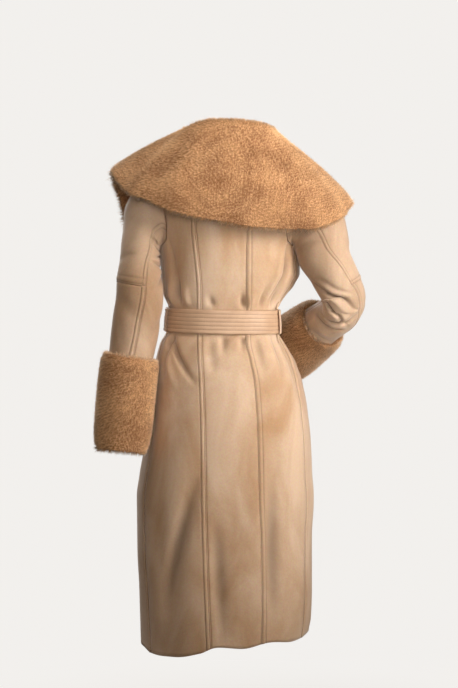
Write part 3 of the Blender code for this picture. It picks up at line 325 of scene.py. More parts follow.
def slack(turn, level):
    """Soft uneven waves of the cloth, under two millimetres, that leave it looking hung."""
    waves = 0.0
    for across, down, start in SLACK_WAVES:
        waves = waves + np.sin(np.radians(turn) * across * 2 + level * down + start)
    share = (UNDERARM_LEVEL - level) / SLACK_BLEND + SLACK_ABOVE_UNDERARM
    return SLACK_HEIGHT * waves * rising(share)


def body_point(turn, level, out=0.0):
    """Points of the folded cloth, moved out by the given distances."""
    turn, level, out = np.broadcast_arrays(np.asarray(turn, float), level, out)
    lift = fold_height(turn, level) + slack(turn, level) + out
    return plain_body(turn, level) + body_normal(turn, level) * lift[..., None]


def turn_at(distance, level):
    """The turns at which the back lies this far from the middle of the body."""
    share = np.minimum(abs(distance) / body_width(distance > 0, level), 1.0)
    return np.sign(distance) * np.degrees(np.arcsin(share ** (BODY_ROUNDNESS / 2)))


def back_seam(side):
    """The long seam of one side of the back: its turn and level at each row."""
    return turn_at(BACK_LINES[side](SEAM_LEVELS), SEAM_LEVELS), SEAM_LEVELS


def armhole_line(side, share, edge):
    """Turns and levels of an armhole's edge, by the share of the way up it."""
    row = share * (len(ARMHOLE) - 1)
    underarm = SIDE_LINES[side](UNDERARM_LEVEL)
    tip = SHOULDER_TIP_TURN if edge == "behind" else 180 - SHOULDER_TIP_TURN
    pull = rising(share) * (tip - underarm - getattr(ARMHOLE[-1], edge))
    turn = SIDES[side] * (underarm + ARMHOLE_LINES[edge](row) + pull)
    return turn, ARMHOLE_LINES["level"](row)


def side_seam(side, edge):
    """The side seam and then the armhole's edge: its turn and level at each row."""
    turns, levels = armhole_line(side, UPPER_SHARES, edge)
    lower = SIDES[side] * SIDE_LINES[side](LOWER_LEVELS)
    return np.concatenate((lower, turns)), np.concatenate((LOWER_LEVELS, levels))


# The lap of a double-stitched seam: the distance from its edge, how high it stands there,
# and the shade painted where the thread presses in, below nothing for a highlight painted on the
# ridge.
SEAM_LAP = (
    (-0.0004, 0.0004, 0.5),
    (0.0010, 0.0006, 0.3),
    (0.0016, -0.0002, 1.0),
    (0.0022, 0.0006, 0.3),
    (0.0036, 0.0011, 0.0),
    (0.0052, 0.0013, -0.3),
    (0.0068, 0.0011, 0.0),
    (0.0083, 0.0005, 0.3),
    (0.0091, -0.0005, 1.0),
    (0.0099, 0.0000, 0.4),
    (0.0122, 0.0003, 0.0),
    (0.0165, 0.0, 0.0),
)
EDGE_SINK = 0.0006
EDGE_SINK_WIDTH = 0.003
# A plain edge sinks a little, and shade is painted into its sunk rim.
PLAIN_EDGE = ((0.0003, -EDGE_SINK, 0.3), (0.0030, -0.2 * EDGE_SINK, 0.0))
PUCKER_HEIGHT = 0.00022
PUCKER_LENGTH = 0.0165
PUCKER_DRIFT = 3
PUCKER_DRIFT_RATE = 31
PUCKER_MIDDLE = 0.006
PUCKER_SPREAD = 0.010
CREASE_FALL = 1.5
NECKLINE_FALL = 1.6


def painted_crease_shade(height):
    """How much shade is painted into a fold's trough."""
    return np.clip(-height / DEEP_CREASE, 0, 1) ** CREASE_FALL


def panel_points(first, last, columns, lap=PLAIN_EDGE, dip=0.0, step=None):
    """Points and painted seam and crease shade of a body panel between two sides, lap columns
    first.
    """
    (turn_a, level_a), (turn_b, level_b) = first, last
    start, end = body_point(turn_a, level_a), body_point(turn_b, level_b)
    middle = body_point((turn_a + turn_b) / 2, (level_a + level_b) / 2)
    width = lengths(middle - start) + lengths(end - middle)
    distances, heights, lap_shades = np.array(lap).T
    plain = np.linspace(0, 1, columns)[1:]
    shares = distances / width
    shares = np.concatenate((shares, shares[:, -1:] + (1 - shares[:, -1:]) * plain), axis=1)
    turn = turn_a[:, None] + (turn_b - turn_a)[:, None] * shares
    level = level_a[:, None] + (level_b - level_a)[:, None] * shares
    rise = np.concatenate((np.zeros(len(LOWER_LEVELS)), UPPER_SHARES))[:, None]
    level = level - dip * rise ** NECKLINE_FALL * (1 - (2 * shares - 1) ** 2)
    fade = np.clip(1 - (level - HEM_LEVEL) / HEM_BLEND, 0, 1)
    level = np.minimum(level + HEM_LINE(wrapped(turn)) * fade, SHOULDER_SEAM_LEVEL)
    to_end = (1 - shares) * width
    out = np.pad(heights, (0, len(plain))) - EDGE_SINK * np.exp(-(to_end / EDGE_SINK_WIDTH) ** 2)
    if lap is SEAM_LAP:
        drift = PUCKER_DRIFT * np.sin(level * PUCKER_DRIFT_RATE)
        pucker = np.sin(level * 2 * math.pi / PUCKER_LENGTH + drift)
        near = np.exp(-((shares * width - PUCKER_MIDDLE) / PUCKER_SPREAD) ** 2)
        out = out + PUCKER_HEIGHT * pucker * near
    if step:
        out = out + step(turn, level)
    # Shade is painted into the troughs of the body's folds.
    shade = painted_crease_shade(fold_height(turn, level))
    return body_point(turn, level, out), np.maximum(np.pad(lap_shades, (0, len(plain))), shade)


def grid_facing(points):
    """Vectors square to a grid of points."""
    return np.cross(np.gradient(points, axis=1), np.gradient(points, axis=0))


def grid_maker(points):
    """Makes a bmesh of a grid of points."""
    rows, columns = points.shape[:2]
    maker = bmesh.new()
    made = bmesh.ops.create_grid(maker, x_segments=columns - 1, y_segments=rows - 1, size=1)
    for vertex, place in zip(made["verts"], points.reshape(-1, 3)):
        vertex.co = place
    return maker


def smooth_mesh(name, maker):
    """Makes a mesh of a finished bmesh, with all its faces smooth."""
    for face in maker.faces:
        face.smooth = True
    mesh = bpy.data.meshes.new(name)
    maker.to_mesh(mesh)
    maker.free()
    return mesh


def new_object(name, mesh, material):
    """Puts a mesh of one material into the scene."""
    mesh.materials.append(material)
    piece = bpy.data.objects.new(name, mesh)
    bpy.context.scene.collection.objects.link(piece)
    return piece


def mark(piece, name, values):
    """Keeps a value for each corner of a piece."""
    layer = piece.data.attributes.new(name, "FLOAT", "POINT")
    layer.data.foreach_set("value", np.asarray(values, float))


def cloth_piece(name, points, painted_shade, inside, material, thickness=CLOTH_THICKNESS):
    """Makes a shell of cloth from rows of points, its inner side the given thickness inside."""
    maker = grid_maker(points)
    if ((points - inside) * grid_facing(points)).sum() < 0:
        bmesh.ops.reverse_faces(maker, faces=maker.faces)
    piece = new_object(name, smooth_mesh(name, maker), material)
    # Keeps the shade painted into seams and creases, and below nothing a painted highlight.
    mark(piece, "painted_shade", painted_shade.ravel())
    wall = piece.modifiers.new("thickness", "SOLIDIFY")
    wall.thickness = thickness
    wall.offset = -1.0
    wall.use_rim = True
    wall.use_quality_normals = True
    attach(piece, "root")
    return piece


def fill_inputs(tree, node, inputs):
    """Links a node's inputs to the sockets given for them, and sets the values of the rest."""
    for name, value in inputs.items():
        entry = node.inputs[name]
        if isinstance(value, bpy.types.NodeSocket):
            tree.links.new(value, entry)
        else:
            entry.default_value = (*value, 1.0) if entry.type == "RGBA" else value


def add_node(tree, kind, inputs=None, **settings):
    """Adds a shader node with its settings and its inputs, and returns its outputs."""
    node = tree.nodes.new(f"ShaderNode{kind}")
    for name, value in settings.items():
        setattr(node, name, value)
    fill_inputs(tree, node, inputs or {})
    return node.outputs


def colour_ramp(tree, value, first, last, *between):
    """Adds a ramp of colours over a value, each stop a position and a colour."""
    ramp = tree.nodes.new("ShaderNodeValToRGB")
    fill_inputs(tree, ramp, {"Fac": value})
    stops = ramp.color_ramp.elements
    for stop, (position, colour) in zip(stops, (first, last)):
        stop.position, stop.color = position, (*colour, 1.0)
    for position, colour in between:
        stops.new(position).color = (*colour, 1.0)
    return ramp.outputs["Color"]


def paint_shade_into(tree, colour, shades):
    """Paints shade into a colour by how deep the cloth is pressed or creased, and a highlight
    below nothing.
    """
    painted_shade = add_node(tree, "Attribute", attribute_name="painted_shade")
    shade = add_node(tree, "MapRange", {"Value": painted_shade["Fac"], **shades})
    shaded_tones = add_node(tree, "VectorMath", {0: colour, "Scale": shade["Result"]}, operation="SCALE")
    return shaded_tones["Vector"]


def new_material(name, finish):
    """Makes a material of the given finish, and returns it with its tree and its shader."""
    material = bpy.data.materials.new(name)
    material.use_nodes = True
    tree = material.node_tree
    shader = tree.nodes["Principled BSDF"]
    fill_inputs(tree, shader, finish)
    return material, tree, shader


def suede_material(name, light, dark):
    """Faux suede: a short brushed nap with cloudy light and dark, a fine fibre, a sheen and
    painted shade.
    """
    material, tree, shader = new_material(name, {
        "Roughness": 0.66, "Sheen Weight": 0.38, "Sheen Roughness": 0.45,
        "Sheen Tint": (1.0, 0.93, 0.86), "Specular IOR Level": 0.25})
    place = add_node(tree, "TexCoord")["Object"]
    brushed = add_node(tree, "Mapping", {"Vector": place, "Scale": (1.0, 1.0, 0.45)})
    clouds = add_node(tree, "TexNoise", {"Vector": brushed["Vector"], "Scale": 9.0, "Detail": 5.0,
                                         "Roughness": 0.55, "Distortion": 0.6})
    nap = add_node(tree, "TexNoise", {"Vector": place, "Scale": 260.0, "Detail": 3.0})
    fibre = add_node(tree, "TexNoise", {"Vector": place, "Scale": 1500.0, "Detail": 2.0})
    tones = colour_ramp(tree, clouds["Fac"], (0.33, dark), (0.66, light))
    speckle = add_node(tree, "Mix", {"Factor": 0.24, "A": tones, "B": nap["Color"]},
                       data_type="RGBA", blend_type="OVERLAY")
    shaded_tones = paint_shade_into(tree, speckle["Result"], {
        "From Min": -1.0, "From Max": 1.0, "To Min": 1.07, "To Max": 0.50})
    coarse = add_node(tree, "Bump", {"Height": nap["Fac"], "Strength": 0.22, "Distance": 0.0012})
    fine = add_node(tree, "Bump", {"Height": fibre["Fac"], "Normal": coarse["Normal"],
                                   "Strength": 0.30, "Distance": 0.0004})
    fill_inputs(tree, shader, {"Base Color": shaded_tones, "Normal": fine["Normal"]})
    return material


SUEDE_LIGHT = (0.780, 0.545, 0.368)
SUEDE_DARK = (0.545, 0.312, 0.157)
# The sleeves' suede is a darker copy of the body's: painted shade for the less light the arms
# catch.
SHADED_SLEEVE_LIGHT = (0.660, 0.452, 0.300)
SHADED_SLEEVE_DARK = (0.385, 0.222, 0.115)
suede = suede_material("faux_suede", SUEDE_LIGHT, SUEDE_DARK)
shaded_sleeve_suede = suede_material("faux_suede_sleeves_painted_shade", SHADED_SLEEVE_LIGHT, SHADED_SLEEVE_DARK)
SEAM_THREAD_COLOUR = (0.330, 0.185, 0.100)
STITCH_PITCH = 0.0042
STITCH_LENGTH = 0.0032
STITCH_AHEAD = 0.002
ROW_MARGIN = 0.003
THREAD_THICKNESS = 0.00075
THREAD_SINK = 0.0001
THREAD_SEAT = 0.3


def thread_material(name, colour):
    """Twisted polyester thread: dull, with light along each stitch."""
    material, tree, shader = new_material(name, {"Roughness": 0.6})
    place = add_node(tree, "TexCoord")["Object"]
    twist = add_node(tree, "TexNoise", {"Vector": place, "Scale": 700.0})
    dark, light = ([tone * part for part in colour] for tone in (0.75, 1.2))
    tones = colour_ramp(tree, twist["Fac"], (0.0, dark), (1.0, light))
    fill_inputs(tree, shader, {"Base Color": tones})
    return material


seam_thread = thread_material("seam_thread", SEAM_THREAD_COLOUR)


def joined_copies(name, places, faces, material):
    """Joins many copies of one small shape: places holds each copy's corners."""
    count, corners = places.shape[:2]
    all_faces = np.asarray(faces)[None, :, :] + corners * np.arange(count)[:, None, None]
    mesh = bpy.data.meshes.new(name)
    mesh.from_pydata(places.reshape(-1, 3).tolist(), [], all_faces.reshape(-1, 3).tolist())
    mesh.polygons.foreach_set("use_smooth", np.full(len(mesh.polygons), True))
    piece = new_object(name, mesh, material)
    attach(piece, "root")
    return piece


def reach_along(line):
    """How far along a line of points each of them lies."""
    return np.concatenate(((0.0,), np.cumsum(np.linalg.norm(np.diff(line, axis=0), axis=1))))


def at_spots(spots, reach, line):
    """Points or vectors at spots along a line."""
    return np.stack([np.interp(spots, reach, line[:, axis]) for axis in range(3)], axis=1)


def stitch_row(line, out):
    """Frames of the stitches along a line of points: middle, along, outwards."""
    reach = reach_along(line)
    spots = np.arange(ROW_MARGIN, reach[-1] - ROW_MARGIN, STITCH_PITCH)
    middle, ahead = at_spots(spots, reach, line), at_spots(spots + STITCH_AHEAD, reach, line)
    return middle, unit(ahead - middle), unit(at_spots(spots, reach, out))


def sew(name, rows, material, thickness=THREAD_THICKNESS):
    """Joins the stitches of some rows into one piece of thread."""
    maker = bmesh.new()
    bmesh.ops.create_uvsphere(maker, u_segments=4, v_segments=3, radius=0.5)
    bmesh.ops.triangulate(maker, faces=maker.faces)
    corners = np.array([vertex.co for vertex in maker.verts])
    faces = [[vertex.index for vertex in face.verts] for face in maker.faces]
    maker.free()
    middle, along, outward = (np.concatenate(parts) for parts in zip(*rows))
    outward = unit(outward - along * (outward * along).sum(axis=1, keepdims=True))
    aside = np.cross(along, outward)
    places = middle[:, None, :] + outward[:, None, :] * (thickness * THREAD_SEAT - THREAD_SINK)
    for axis, size, way in (
            (2, STITCH_LENGTH, along), (0, thickness, aside), (1, thickness, outward)):
        places = places + corners[None, :, axis, None] * size * way[:, None, :]
    return joined_copies(name, places, faces, material)


def stitch_rows(points, columns, inside):
    """The rows of stitches that run down the given columns of a panel."""
    normals = unit(grid_facing(points))
    normals = normals * np.sign(((points - inside) * normals).sum())
    return [stitch_row(points[:, column], normals[:, column]) for column in columns]


def line_lengths(points, axis):
    """How long the lines of a grid of points are along one of its axes."""
    return np.linalg.norm(np.diff(points, axis=axis), axis=2).sum(axis=axis)


def cell_areas(points):
    """The areas of the cells of a grid of points."""
    sides = np.cross(points[1:, 1:] - points[:-1, :-1], points[1:, :-1] - points[:-1, 1:])
    return np.linalg.norm(sides, axis=2) / 2


def declare_sheet(piece, points, node, slot, held, rests_on, **more):
    """Hides the part that a sheet stands for."""
    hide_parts(node)


BODY_MIDDLE = np.array((0.0, -0.015, -0.5))
STITCH_COLUMNS = (2, 8)
seam_rows = []


def hung_cloth(node, points, painted_shade, inside, material, rests_on, stitched):
    """Makes one hung panel of suede, and notes the rows of stitches down its columns."""
    piece = cloth_piece(f"{node}_cloth", points, painted_shade, inside, material)
    declare_sheet(piece, points, node, "faux_suede", "hung", rests_on)
    seam_rows.extend(stitch_rows(points, stitched, inside))


BACK_CENTRE_COLUMNS = 25
BACK_SIDE_COLUMNS = 26
points, painted_shade = panel_points(
    back_seam("right"), back_seam("left"), BACK_CENTRE_COLUMNS, dip=NECKLINE_DIP)
hung_cloth("back_centre", points, painted_shade, BODY_MIDDLE, suede, "back_side_left", ())
for side in SIDES:
    points, painted_shade = panel_points(
        back_seam(side), side_seam(side, "behind"), BACK_SIDE_COLUMNS, SEAM_LAP)
    hung_cloth(f"back_side_{side}", points, painted_shade, BODY_MIDDLE, suede, "back_centre",
               STITCH_COLUMNS)

# The two fronts, of the same suede. Each laps over the back at its side seam with the same
# double row of stitches. Below the chest the right front lies over the left one, and the
# free edges are turned in and topstitched.
FRONT_EDGE = named_rows("level reach", (
    (-1.128, -0.085),
    (-0.440, -0.080),
    (-0.365, -0.062),
    (-0.320, -0.022),
    (-0.270, 0.008),
    (-0.190, 0.034),
    (-0.100, 0.054),
    (-0.020, 0.070),
    (0.070, 0.075),
))
FRONT_OVERLAP_STEP = 0.0065
OVERLAP_START_TURN = 104.0
OVERLAP_BLEND_TURN = 28.0
OVERLAP_TOP = -0.240
OVERLAP_BLEND_DROP = 0.080
FRONT_COLUMNS = 30
FRONT_EDGE_STITCHES = -3
FRONT_LINE = column_lines(FRONT_EDGE, "level")["reach"]


def over_step(turn, level):
    """Moves the right front out where it lies over the left one."""
    across = rising((abs(turn) - OVERLAP_START_TURN) / OVERLAP_BLEND_TURN)
    return FRONT_OVERLAP_STEP * across * rising((OVERLAP_TOP - level) / OVERLAP_BLEND_DROP)


for side, sign in SIDES.items():
    edge_turns = sign * 180 - turn_at(sign * FRONT_LINE(SEAM_LEVELS), SEAM_LEVELS)
    points, painted_shade = panel_points(
        side_seam(side, "before"), (edge_turns, SEAM_LEVELS), FRONT_COLUMNS, SEAM_LAP,
        step=over_step if side == "right" else None)
    hung_cloth(f"front_{side}", points, painted_shade, BODY_MIDDLE, suede, f"back_side_{side}",
               STITCH_COLUMNS + (FRONT_EDGE_STITCHES,))

# The sleeves. Each is an outer piece, cut across above the elbow, and a piece under the arm,
# joined with raised double-stitched laps. The left arm hangs, and the right one is bent, so
# its cloth is creased in the crook of the elbow.
SLEEVE_RING = "x y z back_x back_y back_z tilt deep wide"
LEFT_SLEEVE = named_rows(SLEEVE_RING, (
    (0.160, 0.006, -0.146, 0, 1, 0, 45, 0.0720, 0.0930),
    (0.173, 0.014, -0.158, 0, 1, 0, 42, 0.0700, 0.0830),
    (0.183, 0.022, -0.179, 0, 1, 0, 44, 0.0660, 0.0707),
    (0.189, 0.029, -0.207, 0, 1, 0, 36, 0.0610, 0.0553),
    (0.1915, 0.035, -0.2365, 0, 1, 0, 18, 0.0570, 0.0459),
    (0.1925, 0.039, -0.259, 0, 1, 0, 4, 0.0540, 0.0454),
    (0.1945, 0.043, -0.285, 0, 1, 0, 0, 0.0520, 0.0480),
    (0.1945, 0.049, -0.3325, 0, 1, 0, 0, 0.0520, 0.0525),
    (0.2020, 0.054, -0.400, 0, 1, 0, 0, 0.0520, 0.0535),
    (0.2120, 0.058, -0.465, 0, 1, 0, 0, 0.0500, 0.0510),
    (0.2205, 0.061, -0.520, 0, 1, 0, 0, 0.0480, 0.0480),
    (0.2290, 0.065, -0.600, 0, 1, 0, 0, 0.0475, 0.0475),
    (0.2380, 0.069, -0.690, 0, 1, 0, 0, 0.0475, 0.0475),
))
RIGHT_SLEEVE = named_rows(SLEEVE_RING, (
    (-0.160, 0.006, -0.146, 0, 1, 0, 30, 0.0720, 0.0930),
    (-0.180, 0.011, -0.160, -0.05, 1, 0.05, 22, 0.0700, 0.0825),
    (-0.196, 0.018, -0.177, -0.12, 0.95, 0.12, 20, 0.0660, 0.0775),
    (-0.208, 0.025, -0.199, -0.20, 0.92, 0.20, 20, 0.0610, 0.0730),
    (-0.2155, 0.033, -0.2235, -0.28, 0.88, 0.28, 20, 0.0570, 0.0685),
    (-0.222, 0.042, -0.255, -0.36, 0.84, 0.34, 12, 0.0540, 0.0650),
    (-0.239, 0.051, -0.294, -0.43, 0.80, 0.38, 3, 0.0520, 0.0545),
    (-0.2568, 0.0567, -0.3322, -0.496, 0.789, 0.363, 0, 0.0460, 0.0545),
    (-0.2627, 0.0564, -0.3486, -0.623, 0.783, 0.007, 0, 0.0430, 0.0560),
    (-0.2645, 0.0510, -0.3650, -0.662, 0.664, -0.349, 0, 0.0420, 0.0560),
    (-0.2619, 0.0412, -0.3791, -0.606, 0.451, -0.656, 0, 0.0425, 0.0540),
    (-0.2554, 0.0284, -0.3889, -0.520, 0.170, -0.840, 0, 0.0450, 0.0490),
    (-0.2405, 0.0030, -0.4020, -0.580, 0.080, -0.810, 0, 0.0470, 0.0465),
    (-0.2240, -0.0235, -0.4160, -0.607, 0.0, -0.791, 0, 0.0485, 0.0440),
    (-0.1850, -0.0920, -0.4545, -0.607, 0.0, -0.791, 0, 0.0530, 0.0420),
    (-0.1460, -0.1610, -0.4935, -0.607, 0.0, -0.791, 0, 0.0550, 0.0420),
))

# Seams of the sleeves, in degrees round the arm from the back of it towards the top.
SLEEVE_SEAM = "share behind before"
LEFT_SLEEVE_SEAMS = named_rows(SLEEVE_SEAM, (
    (0.00, -38.57, -141.43),
    (0.25, -36.0, -145.0),
    (0.45, -24.0, -150.0),
    (0.70, -6.0, -158.0),
    (1.00, 0.0, -160.0),
))
RIGHT_SLEEVE_SEAMS = named_rows(SLEEVE_SEAM, (
    (0.000, -38.57, -141.43),
    (0.205, -27.0, -145.0),
    (0.336, -22.0, -147.0),
    (0.467, -8.0, -148.0),
    (0.600, 6.0, -150.0),
    (0.733, 8.0, -155.0),
    (1.000, 0.0, -160.0),
))

# Folds across a sleeve: slant is the share per 100 degrees, reach is round the arm.
SLEEVE_FOLD = "share around slant reach width depth"
LEFT_SLEEVE_FOLDS = named_rows(SLEEVE_FOLD, (
    (0.24, -60, 0.10, 50, 0.0085, -0.0070),
    (0.33, -74, -0.06, 50, 0.0080, -0.0070),
    (0.41, -72, 0.08, 52, 0.0085, -0.0060),
    (0.49, -68, -0.04, 50, 0.0080, -0.0070),
    (0.56, -72, 0.08, 54, 0.0085, -0.0065),
    (0.64, 30, -0.05, 60, 0.013, -0.0030),
    (0.68, -60, 0.07, 52, 0.0100, -0.0040),
    (0.46, 60, 0.05, 60, 0.012, -0.0025),
))
RIGHT_SLEEVE_FOLDS = named_rows(SLEEVE_FOLD, (
    (0.26, -40, 0.08, 45, 0.016, -0.0035),
    (0.455, -50, 0.16, 60, 0.0090, -0.0040),
    (0.505, -52, 0.18, 78, 0.0072, -0.0138),
    (0.546, -60, 0.14, 64, 0.0080, 0.0050),
    (0.588, -70, 0.19, 72, 0.0070, -0.0138),
    (0.632, -45, 0.04, 60, 0.0085, 0.0050),
    (0.669, -48, -0.08, 76, 0.0070, -0.0138),
    (0.712, -60, -0.08, 60, 0.0085, 0.0030),
    (0.752, -74, -0.07, 70, 0.0070, -0.0125),
    (0.800, -60, -0.04, 50, 0.0080, 0.0030),
    (0.852, -62, -0.01, 52, 0.0080, -0.0060),
))
LAP_RISE = 0.0012
ARMHOLE_GAP = 0.0006
ARMHOLE_CLEAR_LEVEL = -0.205
ARMHOLE_CLEAR_DROP = 0.028
ARMHOLE_BLEND = 0.22
BODY_CLEAR = 0.0016
SLEEVE_LENGTH = 0.60
ELBOW_SEAM_SHARE = {"left": 0.578, "right": 0.467}
ELBOW_SEAM_RISE = 0.018
NEAR_SHARE = 0.02
SLEEVES = {side: column_lines(rings, np.linspace(0, 1, len(rings)))
           for side, rings in (("left", LEFT_SLEEVE), ("right", RIGHT_SLEEVE))}
SLEEVE_SEAM_LINES = {
    "left": column_lines(LEFT_SLEEVE_SEAMS, "share"),
    "right": column_lines(RIGHT_SLEEVE_SEAMS, "share"),
}
SLEEVE_FOLDS = {"left": LEFT_SLEEVE_FOLDS, "right": RIGHT_SLEEVE_FOLDS}


def line_vector(lines, prefix, place):
    """Points or directions from the x, y and z lines whose names start with the prefix."""
    return np.stack([lines[prefix + axis](place) for axis in "xyz"], axis=-1)


def sleeve_centre(side, share):
    """The middles of a sleeve's rings."""
    return line_vector(SLEEVES[side], "", share)


def arm_ring(side, share, around, out):
    """Points round the rings of an arm, moved out: around is in degrees from its back."""
    lines, centre = SLEEVES[side], sleeve_centre(side, share)
    path = unit(sleeve_centre(side, np.minimum(share + NEAR_SHARE, 1.0))
                - sleeve_centre(side, np.maximum(share - NEAR_SHARE, 0.0)))
    back = line_vector(lines, "back_", share)
    back = unit(back - path * (back * path).sum(axis=-1, keepdims=True))
    tilt = np.radians(lines["tilt"](share))[..., None]
    outer = np.cross(path, back) * SIDES[side] * np.cos(tilt) - path * np.sin(tilt)
    angle = np.radians(around)
    return (centre + back * ((lines["deep"](share) + out) * np.cos(angle))[..., None]
            + outer * ((lines["wide"](share) + out) * np.sin(angle))[..., None])


def sleeve_fold(side, share, around):
    """How far the folds push the sleeve out."""
    total = 0.0
    for fold in SLEEVE_FOLDS[side]:
        off = wrapped(around - fold.around)
        along = (share - fold.share - fold.slant * off / 100) * SLEEVE_LENGTH / fold.width
        window = np.cos(np.clip(off / fold.reach, -1, 1) * math.pi / 2) ** 2
        total = total + fold.depth * window * np.exp(-along * along)
    return total


def off_body(place, clearance):
    """The moves that take points just clear of the body cloth below the armhole."""
    x, level = place[..., 0], place[..., 2]
    y = place[..., 1] - BODY["middle"](level)
    width = body_width(x > 0, level)
    across, along = abs(x) / width, abs(y) / body_depth(y > 0, level)
    reach = (across ** BODY_ROUNDNESS + along ** BODY_ROUNDNESS) ** (1 / BODY_ROUNDNESS)
    behind = np.degrees(np.arctan2(across, np.where(y > 0, along, -along)))
    room = clearance + np.where(x > 0, 0.0, over_step(behind, level))
    need = 1 + room / width * rising((ARMHOLE_CLEAR_LEVEL - level) / ARMHOLE_CLEAR_DROP)
    return np.stack((x, y, np.zeros_like(y)), axis=-1) * np.maximum(need / reach - 1, 0)[..., None]


def armhole_start(side, around, out):
    """Where a sleeve starts, just inside the armhole's edge."""
    up = abs((around + 270) % 360 - 180) / 180
    behind = (around + 90) % 360 < 180
    turns, levels = zip(armhole_line(side, up, "behind"), armhole_line(side, up, "before"))
    turn, level = np.where(behind, *turns), np.where(behind, *levels)
    lap = np.where(~behind & (out >= 0), LAP_RISE, 0.0)
    hole = body_point(turn, np.minimum(level, SHOULDER_SEAM_LEVEL), out + lap)
    inward = (sleeve_centre(side, np.zeros(1))[0] - hole) * (0, 1, 1)
    return hole + (unit(inward) + (SIDES[side], 0, 0)) * ARMHOLE_GAP


def sleeve_point(side, share, around, out=0.0):
    """Points of a sleeve: around is in degrees from the back of the arm towards its top."""
    share, around, out = np.broadcast_arrays(share, around, np.asarray(out, float))
    blend = rising(share / ARMHOLE_BLEND)
    fold = sleeve_fold(side, share, around) * blend
    places = []
    for lift in (np.zeros_like(out), out):
        start = armhole_start(side, around, lift)
        ring = arm_ring(side, share, around, fold + lift)
        places.append(start + (ring - start) * blend[..., None])
    face, place = places
    low = ((share > 0) & (face[..., 2] < ARMHOLE_CLEAR_LEVEL))[..., None]
    return place + np.where(low, off_body(face, BODY_CLEAR), 0.0)


def sleeve_grid(side, piece, part, down, across):
    """Shares down the sleeve and degrees round it for a grid of one of its pieces."""
    seams = SLEEVE_SEAM_LINES[side]
    bow = np.sin(math.pi * across) ** 2 if piece == "top" else 0.0 * across
    elbow = ELBOW_SEAM_SHARE[side] - ELBOW_SEAM_RISE * bow
    share = down * elbow if part == "upper" else elbow + (down - 1) * (1 - elbow)
    if part == "whole":
        share = np.where(down <= 1, down * elbow, share)
    behind, before = seams["behind"](share), seams["before"](share)
    first, last = (behind, before + 360) if piece == "top" else (before, behind)
    return share, first + (last - first) * across


def sleeve_cloth(side, piece, part, rows, columns):
    """Points, painted seam and crease shade, and shares of one piece of a sleeve, with its laps
    raised.
    """
    down, across = np.meshgrid(rows, columns, indexing="ij")
    plain = sleeve_point(side, *sleeve_grid(side, piece, part, down, across))
    distances, heights, lap_shades = np.array(SEAM_LAP).T
    count = len(distances)
    if piece == "top":
        lap = distances / line_lengths(plain, 1)[:, None]
        rest = lap[:, -1:] + (1 - lap[:, -1:]) * columns[1:]
        across = np.concatenate((lap, rest), axis=1)
        down = np.broadcast_to(rows[:, None], across.shape)
    if part == "upper":
        near = distances[::-1] / line_lengths(plain, 0).mean()
        rows = np.concatenate((rows[:-1] * (1 - near[0]), rows.max() - near))
        down, across = np.meshgrid(rows, across[len(across) // 2], indexing="ij")
    share, around = sleeve_grid(side, piece, part, down, across)
    height, painted_shade = np.zeros(share.shape), np.zeros(share.shape)
    if piece == "top":
        height[:, :count], painted_shade[:, :count] = heights, lap_shades
    if part == "upper":
        height[-count:] = np.maximum(height[-count:], heights[::-1, None])
        own, end = painted_shade[-count:], lap_shades[::-1, None]
        painted_shade[-count:] = np.where(abs(own) > abs(end), own, end)
    # Shade is painted into the troughs of the sleeve's creases.
    painted_shade = np.maximum(painted_shade, painted_crease_shade(sleeve_fold(side, share, around)))
    return sleeve_point(side, share, around, height), painted_shade, share


TOP_COLUMNS = np.linspace(0, 1, 44)
UPPER_ROWS = np.linspace(0, 1, 62)
LOWER_ROWS = np.linspace(1, 2, 58)
UNDER_ROWS = {"left": np.linspace(0, 2, 150), "right": np.linspace(0, 2, 200)}
UNDER_COLUMNS = {"left": np.linspace(0, 1, 26), "right": np.linspace(0, 1, 38)}
ELBOW_STITCH_ROWS = (-3, -9)
for side in SIDES:
    parts = {
        "top_upper": sleeve_cloth(side, "top", "upper", UPPER_ROWS, TOP_COLUMNS),
        "top_lower": sleeve_cloth(side, "top", "lower", LOWER_ROWS, TOP_COLUMNS),
        "under": sleeve_cloth(side, "under", "whole", UNDER_ROWS[side], UNDER_COLUMNS[side]),
    }
    for name, (points, painted_shade, share) in parts.items():
        hung_cloth(f"sleeve_{side}_{name}", points, painted_shade, sleeve_centre(side, share),
                   shaded_sleeve_suede, f"back_side_{side}", () if name == "under" else STITCH_COLUMNS)
    upper, _, share = parts["top_upper"]
    seam_rows.extend(stitch_rows(upper.transpose(1, 0, 2), ELBOW_STITCH_ROWS,
                                 sleeve_centre(side, share).transpose(1, 0, 2)))

sew("seam_stitches", seam_rows, seam_thread)

# The belt and the carriers. The belt is faux leather with six sewn channels, worn tight once
# round the waist with its end lapped at the front, under a plain frame covered in the same
# leather. A narrow carrier of suede at each side seam holds it up.
BELT_TOP = -0.3785
BELT_WIDTH = 0.0535
BELT_THICKNESS = 0.0036
BELT_CHANNELS = 6
BELT_RIB_DEPTH = 0.0009
BELT_SEAT = 0.0026
BELT_EASE = 0.0009
BELT_START_TURN = -176.0
BELT_END_TURN = 243.0
BELT_TAIL_NARROWING = 0.16
BELT_TAIL_TURN = 10.0
BELT_LAP_START = 140.0
BELT_LAP_TURN = 35.0
BELT_LIGHT = (0.570, 0.366, 0.228)
BELT_DARK = (0.490, 0.304, 0.183)
BELT_THREAD_COLOUR = (0.42, 0.245, 0.135)
BELT_THREAD_THICKNESS = 0.0006


